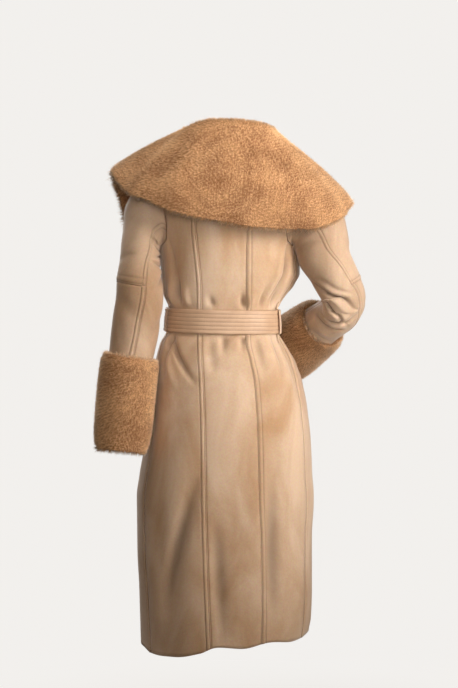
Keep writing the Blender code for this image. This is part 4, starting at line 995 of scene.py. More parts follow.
def leather_material(name, light, dark):
    """Satin faux leather: a fine pebbled grain, faint mottling, and painted shade in its pressed
    seams.
    """
    material, tree, shader = new_material(name, {
        "Roughness": 0.48, "Specular IOR Level": 0.40, "Coat Weight": 0.08,
        "Coat Roughness": 0.35})
    place = add_node(tree, "TexCoord")["Object"]
    mottle = add_node(tree, "TexNoise", {"Vector": place, "Scale": 22.0, "Detail": 4.0})
    grain = add_node(tree, "TexVoronoi", {"Vector": place, "Scale": 900.0},
                     feature="DISTANCE_TO_EDGE")
    tones = colour_ramp(tree, mottle["Fac"], (0.30, dark), (0.70, light))
    shaded_tones = paint_shade_into(tree, tones, {"To Min": 1.0, "To Max": 0.62})
    bump = add_node(tree, "Bump", {"Height": grain["Distance"], "Strength": 0.18,
                                   "Distance": 0.0003})
    fill_inputs(tree, shader, {"Base Color": shaded_tones, "Normal": bump["Normal"]})
    return material


leather = leather_material("faux_leather", BELT_LIGHT, BELT_DARK)


def belt_seat(turn):
    """How far the belt's inner side lies outside the plain cloth, and over its own end."""
    over = BELT_THICKNESS + BELT_RIB_DEPTH + BELT_EASE
    over = over * rising((turn - BELT_LAP_START) / BELT_LAP_TURN)
    return BELT_SEAT + over_step(wrapped(turn), BELT_TOP) + over


def belt_point(turn, across, out):
    """Points of the belt: across runs from its lower edge to its upper one."""
    level = BELT_TOP - BELT_WIDTH * (1 - across)
    out = belt_seat(turn) + out
    return plain_body(turn, level) + body_normal(turn, level) * out[..., None]


CHANNEL_STEPS = 8
CHANNEL_SQUARENESS = 0.55
BELT_ROWS = 210
BELT_EDGE_ROUND = 0.0012
BELT_RIPPLE = 0.00018
RIPPLE_RATE = 55
RIPPLE_SLANT = 6
BELT_EDGE_DROP = 0.9
GROOVE_SHARPNESS = 1.7
GROOVE_EDGE_LIMIT = 0.4
BELT_SHELL_INSET = 0.0003
BELT_MIDDLE = np.array((0.0, -0.015, -0.40))
belt_turns = np.linspace(BELT_START_TURN, BELT_END_TURN, BELT_ROWS)[:, None]
belt_across = np.linspace(0, 1, CHANNEL_STEPS * BELT_CHANNELS + 1)[None, :]
tail = rising((belt_turns - BELT_END_TURN) / BELT_TAIL_TURN + 1)
narrowed = 0.5 + (belt_across - 0.5) * (1 - BELT_TAIL_NARROWING * tail)
channel = abs(np.sin(math.pi * BELT_CHANNELS * belt_across)) ** CHANNEL_SQUARENESS
edge_round = np.exp(-np.minimum(belt_across, 1 - belt_across) * BELT_WIDTH / BELT_EDGE_ROUND)
ripple = BELT_RIPPLE * np.sin(np.radians(belt_turns) * RIPPLE_RATE + RIPPLE_SLANT * belt_across)
ribs = BELT_RIB_DEPTH * (channel - BELT_EDGE_DROP * edge_round)
height = BELT_THICKNESS + ribs + ripple * channel
belt_points = belt_point(belt_turns + 0.0 * belt_across, narrowed, height)
# Shade is painted into the grooves between the belt's channels.
painted_groove_shade = np.clip(1 - channel * GROOVE_SHARPNESS, 0, 1) * (edge_round < GROOVE_EDGE_LIMIT)
painted_groove_shade = painted_groove_shade * np.ones_like(belt_turns)
belt = cloth_piece("belt_leather", belt_points, painted_groove_shade, BELT_MIDDLE, leather,
                   BELT_THICKNESS - BELT_SHELL_INSET)
declare_sheet(belt, belt_points, "belt", "faux_leather", "laid",
              ["belt_loop_left", "belt_loop_right"])
belt_rows = stitch_rows(
    belt_points, range(CHANNEL_STEPS, CHANNEL_STEPS * BELT_CHANNELS, CHANNEL_STEPS), BELT_MIDDLE)
belt_thread = thread_material("belt_thread", BELT_THREAD_COLOUR)
sew("belt_stitches", belt_rows, belt_thread, BELT_THREAD_THICKNESS)

BUCKLE_LENGTH = 0.062
BUCKLE_BAR = 0.009
BUCKLE_THICKNESS = 0.0045
BUCKLE_GAP = 0.0005
BUCKLE_CORNER = 0.010
BUCKLE_MARGIN = 0.0015
BUCKLE_SEAT_TURN = 200.0
BAR_SQUARENESS = 0.7
CORNER_POINTS = 9
BAR_POINTS = 17
WELD_DISTANCE = 0.00002
half_long = (BUCKLE_LENGTH - BUCKLE_BAR) / 2 - BUCKLE_CORNER
half_high = BELT_WIDTH / 2 + BUCKLE_MARGIN + BUCKLE_BAR / 2 - BUCKLE_CORNER
outline = []
for side_x, side_z, start in ((1, 1, 0), (-1, 1, 90), (-1, -1, 180), (1, -1, 270)):
    bend = np.radians(np.linspace(0, 90, CORNER_POINTS)) + math.radians(start)
    outline.append(np.stack((side_x * half_long + BUCKLE_CORNER * np.cos(bend),
                             side_z * half_high + BUCKLE_CORNER * np.sin(bend)), axis=1))
outline = np.concatenate(outline + [outline[0][:1]])
along = unit(np.roll(outline[:-1], -1, axis=0) - np.roll(outline[:-1], 1, axis=0))
along = np.concatenate((along, along[:1]))
round_bar = np.radians(np.linspace(0, 360, BAR_POINTS))
spread = signed_power(np.cos(round_bar), BAR_SQUARENESS)
lift = 0.5 + 0.5 * signed_power(np.sin(round_bar), BAR_SQUARENESS)
spot_x = outline[:, :1] + along[:, 1:] * spread * BUCKLE_BAR / 2
spot_z = outline[:, 1:] - along[:, :1] * spread * BUCKLE_BAR / 2
buckle_turn = 180 - turn_at(spot_x, BELT_TOP + 0 * spot_x)
seat = BELT_THICKNESS + BELT_RIB_DEPTH + BUCKLE_GAP + BUCKLE_THICKNESS * lift
seat = seat + belt_seat(np.array(BUCKLE_SEAT_TURN)) - belt_seat(buckle_turn)
buckle_points = belt_point(buckle_turn, 0.5 + spot_z / BELT_WIDTH, seat)


def closed_piece(name, points, material):
    """Makes a closed ring of like sections, the last row and column on the first ones."""
    maker = grid_maker(points)
    bmesh.ops.remove_doubles(maker, verts=maker.verts, dist=WELD_DISTANCE)
    bmesh.ops.recalc_face_normals(maker, faces=maker.faces)
    piece = new_object(name, smooth_mesh(name, maker), material)
    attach(piece, "root")
    return piece


buckle = closed_piece("buckle_frame", buckle_points, leather)
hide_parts("buckle")

LOOP_WIDTH = 0.008
LOOP_THICKNESS = 0.0018
LOOP_STAND_OFF = 0.0030
LOOP_BEHIND_SEAM = 4.6
LOOP_SHELL_INSET = 0.0002
LOOP_EDGE_DROP = 0.0004
LOOP_EDGE_SHADE = 0.5
LOOP_BOW = 0.0008
LOOP_ROWS = 49
LOOP_COLUMNS = 7
LOOP_OUTER = BELT_SEAT + BELT_THICKNESS + BELT_RIB_DEPTH + LOOP_STAND_OFF

# One foot of a carrier, from its end to the belt's edge. The other mirrors it.
LOOP_FOOT = named_rows("rise out", (
    (0.0200, 0.0009),
    (0.0120, 0.0011),
    (0.0055, 0.45 * LOOP_OUTER),
    (-0.0015, LOOP_OUTER),
))
arch = np.array(LOOP_FOOT + [(-0.5 * BELT_WIDTH, LOOP_OUTER + LOOP_BOW)]
                + [(-BELT_WIDTH - foot.rise, foot.out) for foot in reversed(LOOP_FOOT)])
arch_places = np.arange(len(arch))
loop_rows = np.linspace(0, len(arch) - 1, LOOP_ROWS)
rise = np.interp(loop_rows, arch_places, arch[:, 0])[:, None]
out = smooth_line(arch_places, arch[:, 1])(loop_rows)[:, None] + LOOP_THICKNESS
spread = np.linspace(-1, 1, LOOP_COLUMNS)[None, :]
for side, sign in SIDES.items():
    middle = sign * (SIDE_LINES[side](np.array(BELT_TOP)) - LOOP_BEHIND_SEAM)
    half = np.degrees(LOOP_WIDTH / 2 / BODY[side](BELT_TOP + rise))
    points = body_point(middle + half * spread, BELT_TOP + rise + 0 * spread,
                        out - LOOP_EDGE_DROP * spread ** 4)
    # Shade is painted along the carrier's rounded side edges.
    painted_shade = LOOP_EDGE_SHADE * spread ** 8 + 0 * rise
    carrier = cloth_piece(f"belt_loop_{side}_cloth", points, painted_shade, BODY_MIDDLE, suede,
                          LOOP_THICKNESS - LOOP_SHELL_INSET)
    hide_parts(f"belt_loop_{side}")

# The fur. The turned-back cuffs and the shawl collar are faux fur on a knitted backing: a
# thin shell a few millimetres inside the wall, and a dense short pile of tufts that stand on
# it, lie a little towards the edge, and fan out over every edge.
FUR_DEPTH = 0.0040
BACKING_THICKNESS = 0.0015
BACKING_STEP = (slice(None, None, 3), slice(None, None, 2))
TUFT_RADIUS = 0.00130
TUFT_AREA = 3.3e-6
UNDERSIDE_AREA = 12.0e-6
TUFT_PAST = 0.0012
EDGE_SPACING = 0.00032
EDGE_LENGTH = 0.0090
EDGE_RADIUS = 0.0007
FUR_ROUNDNESS = 0.45
TIP_SHADING_LEAN = 0.4
SWIRL_LENGTH = 0.110
SWIRL_LEAN = 0.16
CLUMP_LENGTH = 0.0056
CLUMP_LEAN = 0.46
STRAY_LEAN = 0.15
WAVE_COUNT = 24
WAVE_RANGE = (0.75, 1.35)
GUARD_RADIUS = 0.0004
GUARD_AREA = 18.0e-6
GUARD_PAST = 0.0038
SHORTEST_TUFT = 0.88
LENGTH_SPREAD = 0.24
CLUMP_LENGTHENS = 0.12
CLUMP_TONE = 0.34
TONE_SPREAD = 0.6
UNDERFUR_HEIGHT = 0.38
TUFT_HEIGHTS = (0.15, 0.15, 0.15, 1.0)
# From root to tip the fur lightens: partly its own colour, partly shade painted deep in the pile.
FUR_ROOT = (0.230, 0.095, 0.036)
FUR_MIDDLE = (0.590, 0.315, 0.140)
FUR_TIP = (0.880, 0.570, 0.320)
FUR_PATCH_DARK = (0.52, 0.41, 0.33)
FUR_PATCH_LIGHT = (1.18, 1.18, 1.16)


def fur_material():
    """Golden brown faux fur, dark at its roots and pale at its tips, in soft broad patches."""
    material, tree, shader = new_material("faux_fur", {
        "Roughness": 0.75, "Sheen Weight": 0.5, "Sheen Roughness": 0.4,
        "Sheen Tint": (1.0, 0.82, 0.62), "Specular IOR Level": 0.3})
    reach = add_node(tree, "Attribute", attribute_name="height")
    tones = colour_ramp(tree, reach["Fac"], (0.0, FUR_ROOT), (1.0, FUR_TIP), (0.55, FUR_MIDDLE))
    place = add_node(tree, "TexCoord")["Object"]
    patches = add_node(tree, "TexNoise", {"Vector": place, "Scale": 16.0, "Detail": 3.0})
    tone = add_node(tree, "Attribute", attribute_name="tone")
    both = add_node(tree, "Math", {0: tone["Fac"], 1: 0.5, 2: patches["Fac"]},
                    operation="MULTIPLY_ADD")
    shade = colour_ramp(tree, both["Value"], (0.45, FUR_PATCH_DARK), (1.0, FUR_PATCH_LIGHT))
    shaded_tones = add_node(tree, "VectorMath", {0: tones, 1: shade}, operation="MULTIPLY")
    fill_inputs(tree, shader, {"Base Color": shaded_tones["Vector"]})
    return material


fur = fur_material()
chance = np.random.default_rng(7)


def backing_points(face, back):
    """The outer side of a fur's backing, between the faces of its wall."""
    return face + (back - face) * np.minimum(FUR_DEPTH / lengths(face - back), 0.5)


def scattered(surface, area):
    """Even random spots on a grid of points: row, column, and the shares within the cell."""
    reach = np.cumsum(cell_areas(surface).ravel())
    count = int(reach[-1] / area)
    cells = np.searchsorted(reach, (np.arange(count) + chance.random(count)) / count * reach[-1])
    row, column = np.divmod(np.minimum(cells, len(reach) - 1), surface.shape[1] - 1)
    return row, column, chance.random(count)[:, None], chance.random(count)[:, None]


def picked(grid, spots):
    """Values of a grid at scattered spots."""
    row, column, down, across = spots
    top = grid[row, column] * (1 - across) + grid[row, column + 1] * across
    low = grid[row + 1, column] * (1 - across) + grid[row + 1, column + 1] * across
    return top * (1 - down) + low * down


def random_waves(length):
    """Makes smooth random vectors that change over about the given length."""
    ways = unit(chance.normal(size=(WAVE_COUNT, 3))) * 2 * math.pi / length
    ways = ways * chance.uniform(*WAVE_RANGE, size=(WAVE_COUNT, 1))
    starts = chance.uniform(0, 2 * math.pi, WAVE_COUNT)
    sizes = chance.normal(size=(WAVE_COUNT, 3)) * math.sqrt(2 / WAVE_COUNT)
    return lambda places: np.sin(places @ ways.T + starts) @ sizes


swirl_at = random_waves(SWIRL_LENGTH)
clump_at = random_waves(CLUMP_LENGTH)


def mark_backing(piece):
    """Gives a fur's backing the colour of its dense short underfur, partly painted shade in the
    pile.
    """
    for name, value in (("height", UNDERFUR_HEIGHT), ("tone", 0.5)):
        mark(piece, name, np.full(len(piece.data.vertices), value))


def grown(name, tufts):
    """Joins tufts from their roots to their tips, leaning the way that they lie."""
    roots, tips, lie, radius = (np.concatenate(parts) for parts in zip(*tufts))
    count = len(roots)
    length = lengths(tips - roots)
    stand = (tips - roots) / length
    clump = clump_at(tips)
    swing = lie + SWIRL_LEAN * swirl_at(roots) + CLUMP_LEAN * clump
    swing = swing + STRAY_LEAN * chance.normal(size=(count, 3))
    lean = swing - stand * (swing * stand).sum(axis=1, keepdims=True)
    length = length * (SHORTEST_TUFT + LENGTH_SPREAD * chance.random((count, 1))
                       + CLUMP_LENGTHENS * clump[:, :1])
    aside = unit(np.cross(stand, chance.normal(size=(count, 3))))
    other = np.cross(stand, aside)
    places, normals = [], []
    for angle in (0, 2 * math.pi / 3, 4 * math.pi / 3):
        ring = aside * math.cos(angle) + other * math.sin(angle)
        places.append(roots + ring * radius[:, None])
        normals.append(unit(stand + FUR_ROUNDNESS * ring))
    places.append(roots + (stand + lean) * length)
    normals.append(unit(stand + TIP_SHADING_LEAN * lean))
    faces = [(step, (step + 1) % 3, 3) for step in range(3)]
    piece = joined_copies(name, np.stack(places, axis=1), faces, fur)
    soft = np.stack(normals, axis=1).reshape(-1, 3)
    piece.data.normals_split_custom_set_from_vertices(soft.tolist())
    mark(piece, "height", np.tile(TUFT_HEIGHTS, count))
    stray = TONE_SPREAD * (chance.random(count) - 0.5)
    mark(piece, "tone", np.repeat(np.clip(0.5 + CLUMP_TONE * clump[:, 0] + stray, 0, 1), 4))
    return piece


def pile(face, back, area, lean, past=TUFT_PAST, radius=TUFT_RADIUS):
    """Roots, tips, lie and radius of the tufts on one side of a fur wall."""
    spots = scattered(face, area)
    root, tip = picked(backing_points(face, back), spots), picked(face, spots)
    towards_edge = unit(picked(np.gradient(face, axis=1), spots))
    tip = tip + unit(tip - root) * past
    return root, tip, towards_edge * lean, np.full(len(root), radius)


def fur_rows(face, back, lean):
    """The tufts of the pile, and the sparse long guard hairs that stand past them."""
    return [pile(face, back, TUFT_AREA, lean),
            pile(face, back, GUARD_AREA, lean, GUARD_PAST, GUARD_RADIUS)]


def edge_pile(face, back, column, fan_range):
    """Roots, tips, lie and radius of the tufts that fan out past an edge of a fur wall."""
    skin = backing_points(face, back)
    inner = column + (1 if column == 0 else -1) * 2
    line = skin[:, column]
    reach = reach_along(line)
    spots = np.sort(chance.random(int(reach[-1] / EDGE_SPACING))) * reach[-1]
    root, past, up = (at_spots(spots, reach, grid) for grid in (
        line, unit(line - skin[:, inner]), unit(face[:, column] - back[:, column])))
    fan = chance.uniform(*fan_range, size=(len(spots), 1))
    stand = unit(past * np.cos(fan) + up * np.sin(fan))
    return root, root + stand * EDGE_LENGTH, 0.0 * stand, np.full(len(root), EDGE_RADIUS)


# The cuffs, each one tube of fur turned back over the end of its sleeve.
Cuff = namedtuple("Cuff", "start out_high out_low swell")
CUFFS = {
    "left": Cuff(0.785, 0.0165, 0.0150, 0.0025),
    "right": Cuff(0.868, 0.0165, 0.0215, 0.0010),
}
CUFF_FACE = named_rows("up sink", (
    (0.000, 0.0098),
    (0.022, 0.0060),
    (0.065, 0.0026),
    (0.140, 0.0007),
    (0.300, 0.0),
    (0.900, 0.0),
    (0.970, 0.0022),
    (1.000, 0.0070),
))
CUFF_CLEAR_LOW = 0.0022
CUFF_CLEAR_HIGH = 0.0036
CUFF_FAN = (-0.2, 1.4)
CUFF_LIE = -0.25
CUFF_GRID = np.meshgrid(np.linspace(0, 1, 57), np.linspace(0, 360, 181))
FUR_CLEAR = 0.0040
CUFF_SINK = column_lines(CUFF_FACE, "up")["sink"]


def cuff_point(side, up, around, out):
    """Points of a cuff: up is the share of the way from its lower end to its upper one."""
    place = arm_ring(side, 1 - (1 - CUFFS[side].start) * up, around, out)
    return place + np.where((out > CUFF_CLEAR_HIGH)[..., None], off_body(place, FUR_CLEAR), 0.0)


for side, cuff in CUFFS.items():
    up, around = CUFF_GRID
    out = cuff.out_low + (cuff.out_high - cuff.out_low) * up + cuff.swell * np.sin(math.pi * up)
    face = cuff_point(side, up, around, out - CUFF_SINK(up))
    back = cuff_point(side, up, around, CUFF_CLEAR_LOW + (CUFF_CLEAR_HIGH - CUFF_CLEAR_LOW) * up)
    outer = backing_points(face, back)[BACKING_STEP]
    inner = outer + unit(back[BACKING_STEP] - outer) * BACKING_THICKNESS
    rim = np.concatenate((outer, inner[:, ::-1], outer[:, :1]), axis=1)
    ring = closed_piece(f"cuff_{side}_backing", rim, fur)
    mark_backing(ring)
    ends = [edge_pile(face, back, column, CUFF_FAN) for column in (0, -1)]
    coat = grown(f"cuff_{side}_fur", fur_rows(face, back, CUFF_LIE) + ends)
    declare_sheet(ring, outer, f"cuff_{side}", "faux_fur", "folded",
                  f"sleeve_{side}_top_lower", with_pieces=[coat])

# The shawl collar, from the end of the left lapel round the neck to the end of the right
# one. Its seam lies on a front edge, at a level, or on the back neckline, at a turn in
# degrees. Then come the roll line, the outer edge of the fur, and how far the fall swells.
COLLAR = named_rows("place seam roll_x roll_y roll_z edge_x edge_y edge_z swell", (
    ("left", -0.270, 0.018, -0.138, -0.270, 0.052, -0.150, -0.290, 0.002),
    ("left", -0.235, 0.029, -0.140, -0.235, 0.132, -0.160, -0.280, 0.006),
    ("left", -0.190, 0.040, -0.138, -0.190, 0.185, -0.154, -0.247, 0.008),
    ("left", -0.120, 0.054, -0.128, -0.120, 0.222, -0.134, -0.195, 0.010),
    ("left", -0.055, 0.066, -0.104, -0.055, 0.231, -0.110, -0.146, 0.010),
    ("left", 0.012, 0.080, -0.062, -0.002, 0.250, -0.060, -0.090, 0.009),
    ("neck", 23.0, 0.089, -0.010, 0.028, 0.2560, 0.000, -0.061, 0.006),
    ("neck", 17.0, 0.080, 0.038, 0.032, 0.232, 0.070, -0.101, 0.008),
    ("neck", 11.0, 0.056, 0.068, 0.043, 0.175, 0.125, -0.132, 0.014),
    ("neck", 5.0, 0.022, 0.086, 0.047, 0.099, 0.155, -0.162, 0.016),
    ("neck", -1.0, -0.012, 0.090, 0.047, 0.011, 0.165, -0.178, 0.016),
    ("neck", -7.0, -0.046, 0.082, 0.044, -0.071, 0.158, -0.191, 0.016),
    ("neck", -13.0, -0.078, 0.061, 0.040, -0.156, 0.140, -0.194, 0.016),
    ("neck", -18.0, -0.098, 0.032, 0.034, -0.226, 0.110, -0.181, 0.014),
    ("neck", -23.0, -0.106, 0.002, 0.031, -0.270, 0.060, -0.152, 0.010),
    ("right", 0.030, -0.103, -0.030, 0.018, -0.289, 0.008, -0.131, 0.010),
    ("right", 0.000, -0.092, -0.066, -0.008, -0.280, -0.050, -0.158, 0.013),
    ("right", -0.055, -0.074, -0.104, -0.060, -0.250, -0.102, -0.200, 0.010),
    ("right", -0.120, -0.057, -0.128, -0.120, -0.200, -0.145, -0.250, 0.010),
    ("right", -0.190, -0.040, -0.140, -0.190, -0.140, -0.166, -0.295, 0.008),
    ("right", -0.250, -0.020, -0.146, -0.250, -0.065, -0.168, -0.330, 0.006),
    ("right", -0.310, 0.016, -0.148, -0.310, -0.002, -0.164, -0.354, 0.004),
    ("right", -0.350, 0.046, -0.140, -0.350, 0.040, -0.150, -0.366, 0.002),
))
COLLAR_THICKNESS = 0.016
COLLAR_ROLL_THICKNESS = 0.012
SHORTEST_FULL_FALL = 0.05
COLLAR_SEAT = 0.0016
RIGHT_LAPEL_LIFT = 0.0025
LAPEL_SEAM_INSET = 1.5
NECK_MIDDLE = (-0.006, -0.030, 0.0)
NECK_POINT_TURN = 23.0
STAND_THICKNESS = 0.007
STAND_TAPER = 0.003
LAPEL_PAD = 0.006
STAND_START = 0.022
STAND_BLEND = 0.030
COLLAR_FALL = named_rows("share thickness sink", (
    (0.06, 0.0135, 0.0),
    (0.18, 0.0160, 0.0),
    (0.36, 0.0160, 0.0),
    (0.55, 0.0160, 0.0),
    (0.74, 0.0160, 0.0),
    (0.90, 0.0150, 0.0),
    (0.975, 0.0110, 0.0022),
    (1.000, 0.0050, 0.0055),
))
NEAR_PLACE = 0.3
STAND_SHARES = (0.0, 0.35, 0.70)
PAD_START = 0.25
PAD_TUCK = 0.001
LEAST_THICKNESS_SHARE = 0.25


def collar_seam_point(station):
    """Where the collar is sewn on, at one station."""
    if station.place == "neck":
        share = station.seam / NECK_POINT_TURN
        level = SHOULDER_SEAM_LEVEL - NECKLINE_DIP * (1 - share * share)
        return body_point(station.seam, level, COLLAR_SEAT) + (0, 0, COLLAR_SEAT)
    sign, level = SIDES[station.place], np.array(station.seam)
    turn = turn_at(sign * FRONT_LINE(level), level)
    out = COLLAR_SEAT + (over_step(180, level) + RIGHT_LAPEL_LIFT if sign < 0 else 0)
    return body_point(sign * 180 - turn - sign * LAPEL_SEAM_INSET, level, out)


def collar_lines():
    """Smooth lines along the collar for its seam, roll, outer edge, swell and inner side."""
    places = range(len(COLLAR))
    lines = column_lines(COLLAR, places, COLLAR[0]._fields[2:])
    seams = np.array([collar_seam_point(row) for row in COLLAR])
    inner = (np.array(NECK_MIDDLE) - seams) * (1, 1, 0)
    inner = np.array([unit(way) if row.place == "neck" else (-SIDES[row.place], 0.0, 0.0)
                      for row, way in zip(COLLAR, inner)])
    for axis, letter in enumerate("xyz"):
        lines[f"seam_{letter}"] = smooth_line(places, seams[:, axis])
        lines[f"inner_{letter}"] = smooth_line(places, inner[:, axis])
    return lines


COLLAR_LINES = collar_lines()


def collar_vector(name, place):
    """Points or directions of the collar at places along it."""
    return line_vector(COLLAR_LINES, f"{name}_", place)


def collar_sections(place):
    """The collar's sections: fur face and underside, from the seam out, at places along it."""
    seam, roll, edge = (collar_vector(name, place) for name in ("seam", "roll", "edge"))
    inner = unit(collar_vector("inner", place))
    ahead = np.minimum(place + NEAR_PLACE, len(COLLAR) - 1)
    behind = np.maximum(place - NEAR_PLACE, 0)
    along = unit(collar_vector("roll", ahead) + collar_vector("edge", ahead)
                 - collar_vector("roll", behind) - collar_vector("edge", behind))
    fall, rise = edge - roll, roll - seam
    down = unit(fall)
    outward = unit(np.cross(down, along))
    height = lengths(rise)
    neck_share = rising((height - STAND_START) / STAND_BLEND)
    under_roll = roll - unit(unit(rise) - down) * COLLAR_ROLL_THICKNESS
    face, back = [], []
    for share in STAND_SHARES:
        neck_back = seam + (under_roll - seam) * share
        neck_face = neck_back + inner * (STAND_THICKNESS + STAND_TAPER * share)
        bulge = inner * STAND_TAPER * math.sin(math.pi * share)
        pad_face = seam + rise * (PAD_START + share) + bulge
        pad_back = seam + down * LAPEL_PAD * share
        face.append(pad_face + (neck_face - pad_face) * neck_share)
        back.append(pad_back + (neck_back - pad_back) * neck_share)
    pad_back = seam + down * (LAPEL_PAD + PAD_TUCK)
    face.append(roll)
    back.append(pad_back + (under_roll - pad_back) * neck_share)
    swell = COLLAR_LINES["swell"](place)[:, None]
    share_left = LEAST_THICKNESS_SHARE + lengths(fall) / SHORTEST_FULL_FALL
    thickest = COLLAR_THICKNESS * share_left
    for share, thickness, sink in COLLAR_FALL:
        middle = roll + fall * share + outward * (swell * 4 * share * (1 - share) - sink)
        face.append(middle)
        back.append(middle - outward * np.minimum(thickness, thickest))
    return np.stack(face, axis=1), np.stack(back, axis=1)


def refined(sections, steps):
    """Smooth finer rows through coarse sections, at the given steps along them."""
    rows = np.arange(sections.shape[1])
    row = np.clip(np.floor(steps).astype(int), 0, len(rows) - 2)
    share = (steps - row)[None, :, None]
    before, after = np.maximum(row - 1, 0), np.minimum(row + 2, len(rows) - 1)
    p0, p1 = sections[:, before], sections[:, row]
    p2, p3 = sections[:, row + 1], sections[:, after]
    start, end = 0.5 * (p2 - p0), 0.5 * (p3 - p1)
    return ((2 * share ** 3 - 3 * share ** 2 + 1) * p1 + (share ** 3 - 2 * share ** 2 + share)
            * start + (3 * share ** 2 - 2 * share ** 3) * p2 + (share ** 3 - share ** 2) * end)


COLLAR_ROWS = 441
COLLAR_CUTS = (0.0, 0.27, 0.5, 0.73, 1.0)
COLLAR_LIE = 0.25
COLLAR_FAN = (-0.9, 1.3)
UNDERSIDE_START = 24
FALL_START = 3
EDGE_START = 9
section_steps = np.concatenate((
    np.linspace(0, FALL_START, 14)[:-1], np.linspace(FALL_START, EDGE_START, 71)[:-1],
    np.linspace(EDGE_START, 11, 10)))
collar_face, collar_back = (
    refined(sections, section_steps)
    for sections in collar_sections(np.linspace(0, len(COLLAR) - 1, COLLAR_ROWS + 1)))
outer = backing_points(collar_face, collar_back)
inner = outer + unit(collar_back - outer) * BACKING_THICKNESS
coarse = outer[BACKING_STEP]
collar = cloth_piece("collar_backing", coarse, np.zeros(coarse.shape[:2]), inner[BACKING_STEP],
                     fur, BACKING_THICKNESS)
mark_backing(collar)
collar_fur = []
for number, (first, last) in enumerate(zip(COLLAR_CUTS[:-1], COLLAR_CUTS[1:]), 1):
    rows = slice(int(first * COLLAR_ROWS), int(last * COLLAR_ROWS) + 1)
    face, back = collar_face[rows], collar_back[rows]
    tufts = fur_rows(face, back, COLLAR_LIE) + [edge_pile(face, back, -1, COLLAR_FAN)]
    collar_fur.append(grown(f"collar_fur_{number}", tufts))
below = collar_back[:, UNDERSIDE_START:]
under = pile(below, 2 * inner[:, UNDERSIDE_START:] - below, UNDERSIDE_AREA, COLLAR_LIE)
collar_fur.append(grown("collar_underside_fur", [under]))
declare_sheet(collar, coarse, "collar", "faux_fur", "folded", ["back_centre", "front_right"],
              with_pieces=collar_fur)

# The plain pale floor and the studio light, on a pale warm ground: two soft lights from the
# right, a broad one behind the camera and one overhead, small ones for what they leave in
# the dark, and a large soft one for the coat's front.
GROUND_COLOUR = (0.890, 0.870, 0.845)
FLOOR_COLOUR = (0.80, 0.775, 0.75)
AMBIENT_COLOUR = (1.0, 0.70, 0.46)
AMBIENT_STRENGTH = 0.11
FLOOR_LEVEL = -1.40
FLOOR_SIZE = 40


def mix_shaders(tree, share, first, second, end):
    """Mixes two shaders by a share, at the end of their tree."""
    blend = add_node(tree, "MixShader", {"Fac": share, 1: first, 2: second})
    fill_inputs(tree, tree.nodes[end], {"Surface": blend["Shader"]})


floor_material, tree, plain = new_material("floor", {
    "Base Color": FLOOR_COLOUR, "Roughness": 0.9})
camera_rays = add_node(tree, "LightPath")["Is Camera Ray"]
strength = add_node(tree, "MapRange", {"Value": camera_rays, "To Min": 0.12})
glow = add_node(tree, "Emission", {"Color": GROUND_COLOUR, "Strength": strength["Result"]})
away = add_node(tree, "VectorMath", {0: add_node(tree, "TexCoord")["Object"]}, operation="LENGTH")
fade = add_node(tree, "MapRange", {
    "Value": away["Value"], "From Min": 0.1, "From Max": 1.0, "To Min": 0.55},
    interpolation_type="SMOOTHSTEP")
mix_shaders(tree, fade["Result"], plain.outputs["BSDF"], glow["Emission"], "Material Output")
maker = bmesh.new()
bmesh.ops.create_grid(maker, x_segments=1, y_segments=1, size=FLOOR_SIZE)
floor = new_object("floor", smooth_mesh("floor", maker), floor_material)
floor.location.z = FLOOR_LEVEL

world = bpy.data.worlds.new("studio")
bpy.context.scene.world = world
world.use_nodes = True
tree = world.node_tree
lit = tree.nodes["Background"]
fill_inputs(tree, lit, {"Color": AMBIENT_COLOUR, "Strength": AMBIENT_STRENGTH})
seen = add_node(tree, "Background", {"Color": GROUND_COLOUR})
camera_rays = add_node(tree, "LightPath")["Is Camera Ray"]
mix_shaders(tree, camera_rays, lit.outputs["Background"], seen["Background"], "World Output")

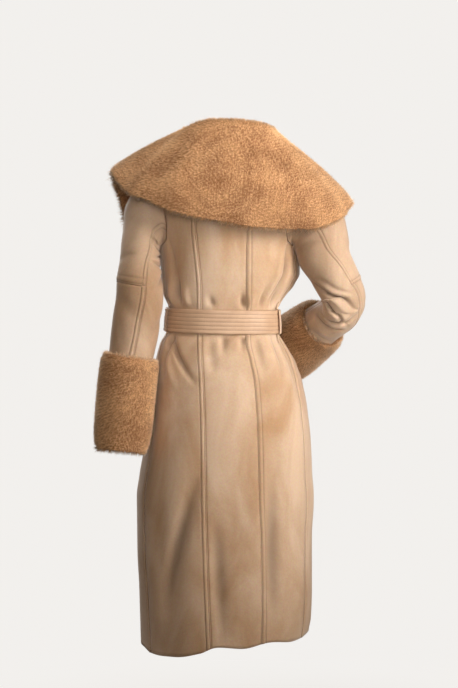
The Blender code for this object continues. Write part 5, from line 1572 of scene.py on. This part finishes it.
AIM = Vector((-0.009, 0.0, -0.459))
LIGHTS = named_rows("name place aim size spread power colour", (
    ("key", (-1.50, 1.30, 0.60), (0.0, 0.0, 0.20), 0.7, 100, 9.5, (1.0, 0.985, 0.96)),
    ("right", (-2.6, 1.8, 0.3), (-0.05, 0.0, -0.35), 0.9, 55, 5.0, (1.0, 0.985, 0.96)),
    ("back", (0.1, 3.4, 0.2), (0.0, 0.0, -0.12), 1.2, 36, 3.1, (1.0, 0.985, 0.97)),
    ("top", (0.4, 0.8, 2.8), (0.05, 0.0, 0.0), 1.2, 90, 11.5, (1.0, 0.99, 0.98)),
    ("low", (-1.3, 0.9, -1.1), (-0.16, -0.12, -0.25), 0.4, 70, 1.8, (1.0, 0.985, 0.96)),
    ("rim", (2.0, -0.5, 1.9), (0.0, 0.0, -0.3), 1.2, 180, 6.0, (1.0, 0.99, 0.98)),
    ("front", (0.8, -3.3, 0.7), (0.0, 0.0, -0.3), 1.6, 180, 85.0, (1.0, 0.98, 0.96)),
))
for light in LIGHTS:
    lamp = bpy.data.lights.new(light.name, "AREA")
    lamp.shape = "SQUARE"
    lamp.size = light.size
    lamp.spread = math.radians(light.spread)
    lamp.energy = light.power
    lamp.color = light.colour
    holder = bpy.data.objects.new(light.name, lamp)
    holder.location = light.place
    direction = Vector(light.aim) - holder.location
    holder.rotation_euler = direction.to_track_quat("-Z", "Y").to_euler()
    bpy.context.scene.collection.objects.link(holder)

CAMERA_AZIMUTH = math.radians(176.0)
CAMERA_ELEVATION = math.radians(3.2)
CAMERA_DISTANCE = 4.5
lens = bpy.data.cameras.new("camera")
lens.lens = 103.6
lens.sensor_width = 36.0
camera = bpy.data.objects.new("camera", lens)
back_off = Vector((math.sin(CAMERA_AZIMUTH) * math.cos(CAMERA_ELEVATION),
                   -math.cos(CAMERA_AZIMUTH) * math.cos(CAMERA_ELEVATION),
                   math.sin(CAMERA_ELEVATION)))
camera.location = AIM + back_off * CAMERA_DISTANCE
camera.rotation_euler = (-back_off).to_track_quat("-Z", "Y").to_euler()
bpy.context.scene.collection.objects.link(camera)
bpy.context.scene.camera = camera
bpy.context.scene.view_settings.view_transform = "Standard"
